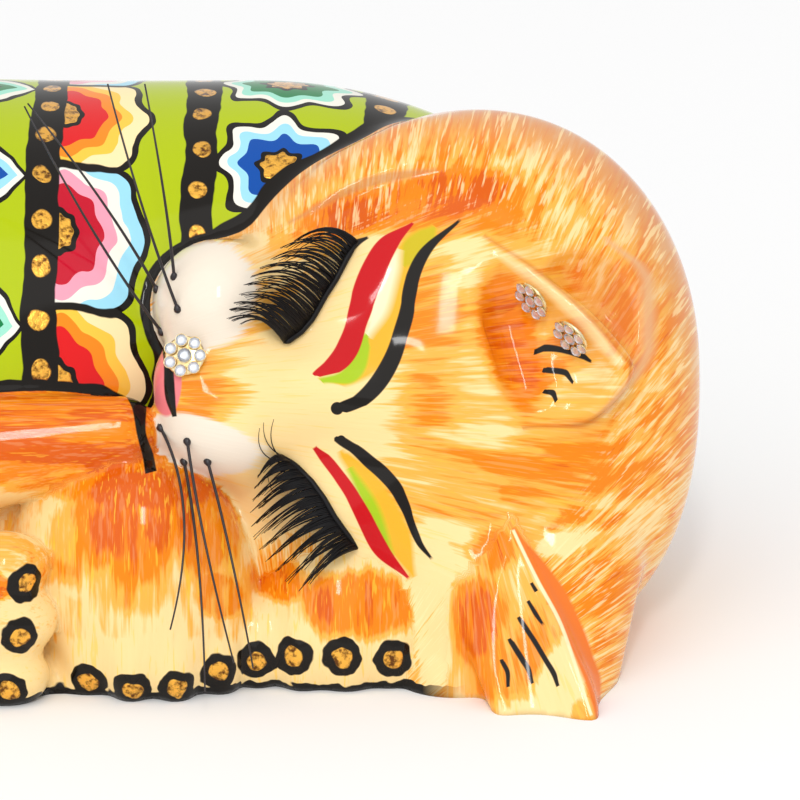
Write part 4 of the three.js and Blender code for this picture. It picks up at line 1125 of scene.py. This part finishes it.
GILT, PALE_GILT, FOIL = hue("e6c684"), hue("f6e6bc"), hue("f0f4fc")
gilt_material, gilt = new_paint("gilt_setting")
gilt_wear = gilt.node("ShaderNodeTexCoord", None, None, 3).noise(900.0)
gilt_colour = over(GILT, PALE_GILT, gilt_wear.rise(0.35, 0.65))
surfaced(gilt, {"Base Color": gilt_colour, "Metallic": 1.0, "Roughness": 0.22 + gilt_wear * 0.1})
crystal_material = one_finish("crystal", {
    "Base Color": (1.0, 1.0, 1.0, 1), "Roughness": 0.0, "IOR": 1.7, "Transmission Weight": 1.0})
foil_material = one_finish("silver_foil", {"Base Color": FOIL, "Metallic": 0.65, "Roughness": 0.2})
for where, facing in FLOWERS.items():
    normal = np.array(facing) @ FACE_AXES
    normal /= np.linalg.norm(normal)
    across = np.cross(UP, normal)
    across /= np.linalg.norm(across)
    axes = np.array([across, np.cross(normal, across), normal])
    low_corner, high_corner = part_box(f"flower_{where}_stone_0")
    stone_middle = np.array((low_corner + high_corner) / 2) * 1000 + UNDER_MIDDLE
    base = stone_middle - normal * (SETTING_HEIGHT + GLUE_GAP + STONE_HEIGHT / 2)
    stones = [(0.0, 0.0, MIDDLE_STONE), *[(x, y, STONE) for x, y in ring_of(PETALS, STONE_RING)]]
    metal = [turned_solid(PLATE, 28)]
    for x, y, width in stones:
        rim_vertices, rim_faces = cup_ring(width / 2 + CLEARANCE)
        metal.append((rim_vertices + (x, y, SETTING_HEIGHT + CUP_HEIGHT), rim_faces))
    metal_vertices, metal_faces = together(metal)
    setting = new_piece(f"setting_{where}", base + metal_vertices @ axes, metal_faces, "gilt_setting")
    setting.data.materials.append(gilt_material)
    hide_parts(f"flower_{where}_setting")
    for number, (x, y, width) in enumerate(stones):
        cut = [(share * width / 2, height) for share, height in STONE_CUT]
        stone_vertices, stone_faces = turned_solid(cut, FACETS, STONE_TURN * number)
        set_vertices = stone_vertices + (x, y, SETTING_HEIGHT + CLEARANCE)
        stone = new_piece(f"stone_{where}_{number}", base + set_vertices @ axes, stone_faces, "rhinestone")
        stone.data.polygons.foreach_set("use_smooth", np.zeros(len(stone.data.polygons), bool))
        stone.data.materials.append(crystal_material)
        stone.data.materials.append(foil_material)
        foiled = [max(stone_vertices[corner][2] for corner in polygon.vertices) < GIRDLE
                  for polygon in stone.data.polygons]
        stone.data.polygons.foreach_set("material_index", np.array(foiled, np.int32))
        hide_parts(f"flower_{where}_stone_{number}")

# The studio: a white floor that runs on behind the object, a broad soft light high in front and a little
# to the left, a narrow one in front whose reflections run down the lacquer, and a white room around.
FLOOR_SIZE = 6.0
floor_corners = [(x * FLOOR_SIZE / 2, y * FLOOR_SIZE / 2, 0) for x, y in ((-1, -1), (1, -1), (1, 1), (-1, 1))]
floor_mesh = bpy.data.meshes.new("floor")
floor_mesh.from_pydata(floor_corners, [], [(0, 1, 2, 3)])
floor = bpy.data.objects.new("floor", floor_mesh)
bpy.context.scene.collection.objects.link(floor)
PALE = (0.92, 0.92, 0.92, 1)
floor_mesh.materials.append(one_finish("pale_floor", {
    "Base Color": PALE, "Roughness": 0.9, "Specular IOR Level": 0.1}))

ROOM_LIGHT = 0.8
world = bpy.data.worlds.new("white_room")
world.use_nodes = True
world.node_tree.nodes["Background"].inputs["Color"].default_value = (1.0, 1.0, 1.0, 1)
world.node_tree.nodes["Background"].inputs["Strength"].default_value = ROOM_LIGHT
bpy.context.scene.world = world

FACE_POINT = Vector((FACE_MIDDLE - UNDER_MIDDLE) / 1000)


def lamp(name, kind, place, settings):
    """A lamp that shines on the face from a place given in metres."""
    light = bpy.data.lights.new(name, kind)
    for setting, value in settings.items():
        setattr(light, setting, value)
    holder = bpy.data.objects.new(name, light)
    holder.location = place
    holder.rotation_euler = (FACE_POINT - Vector(place)).to_track_quat("-Z", "Y").to_euler()
    bpy.context.scene.collection.objects.link(holder)


BROAD_LIGHT_WIDTH = math.radians(80)
lamp("broad_light", "SUN", (-0.3, -1.0, 1.1), {"energy": 0.9, "angle": BROAD_LIGHT_WIDTH})
lamp("strip_light", "AREA", (0.05, -0.95, 0.9),
     {"shape": "RECTANGLE", "size": 0.1, "size_y": 0.4, "energy": 3.0})

# The camera looks square at the leaning face.
CAMERA_REACH = 1.1
LENS, SENSOR = 275, 36  # millimetres
NEAREST, FURTHEST_SEEN = 0.1, 10
camera_data = bpy.data.cameras.new("camera")
camera_data.lens, camera_data.sensor_width = LENS, SENSOR
camera_data.clip_start, camera_data.clip_end = NEAREST, FURTHEST_SEEN
camera = bpy.data.objects.new("camera", camera_data)
camera.location = FACE_POINT + Vector(OUT) * CAMERA_REACH
camera.rotation_euler = (-Vector(OUT)).to_track_quat("-Z", "Y").to_euler()
bpy.context.scene.collection.objects.link(camera)
bpy.context.scene.camera = camera
bpy.context.scene.view_settings.view_transform = "Standard"
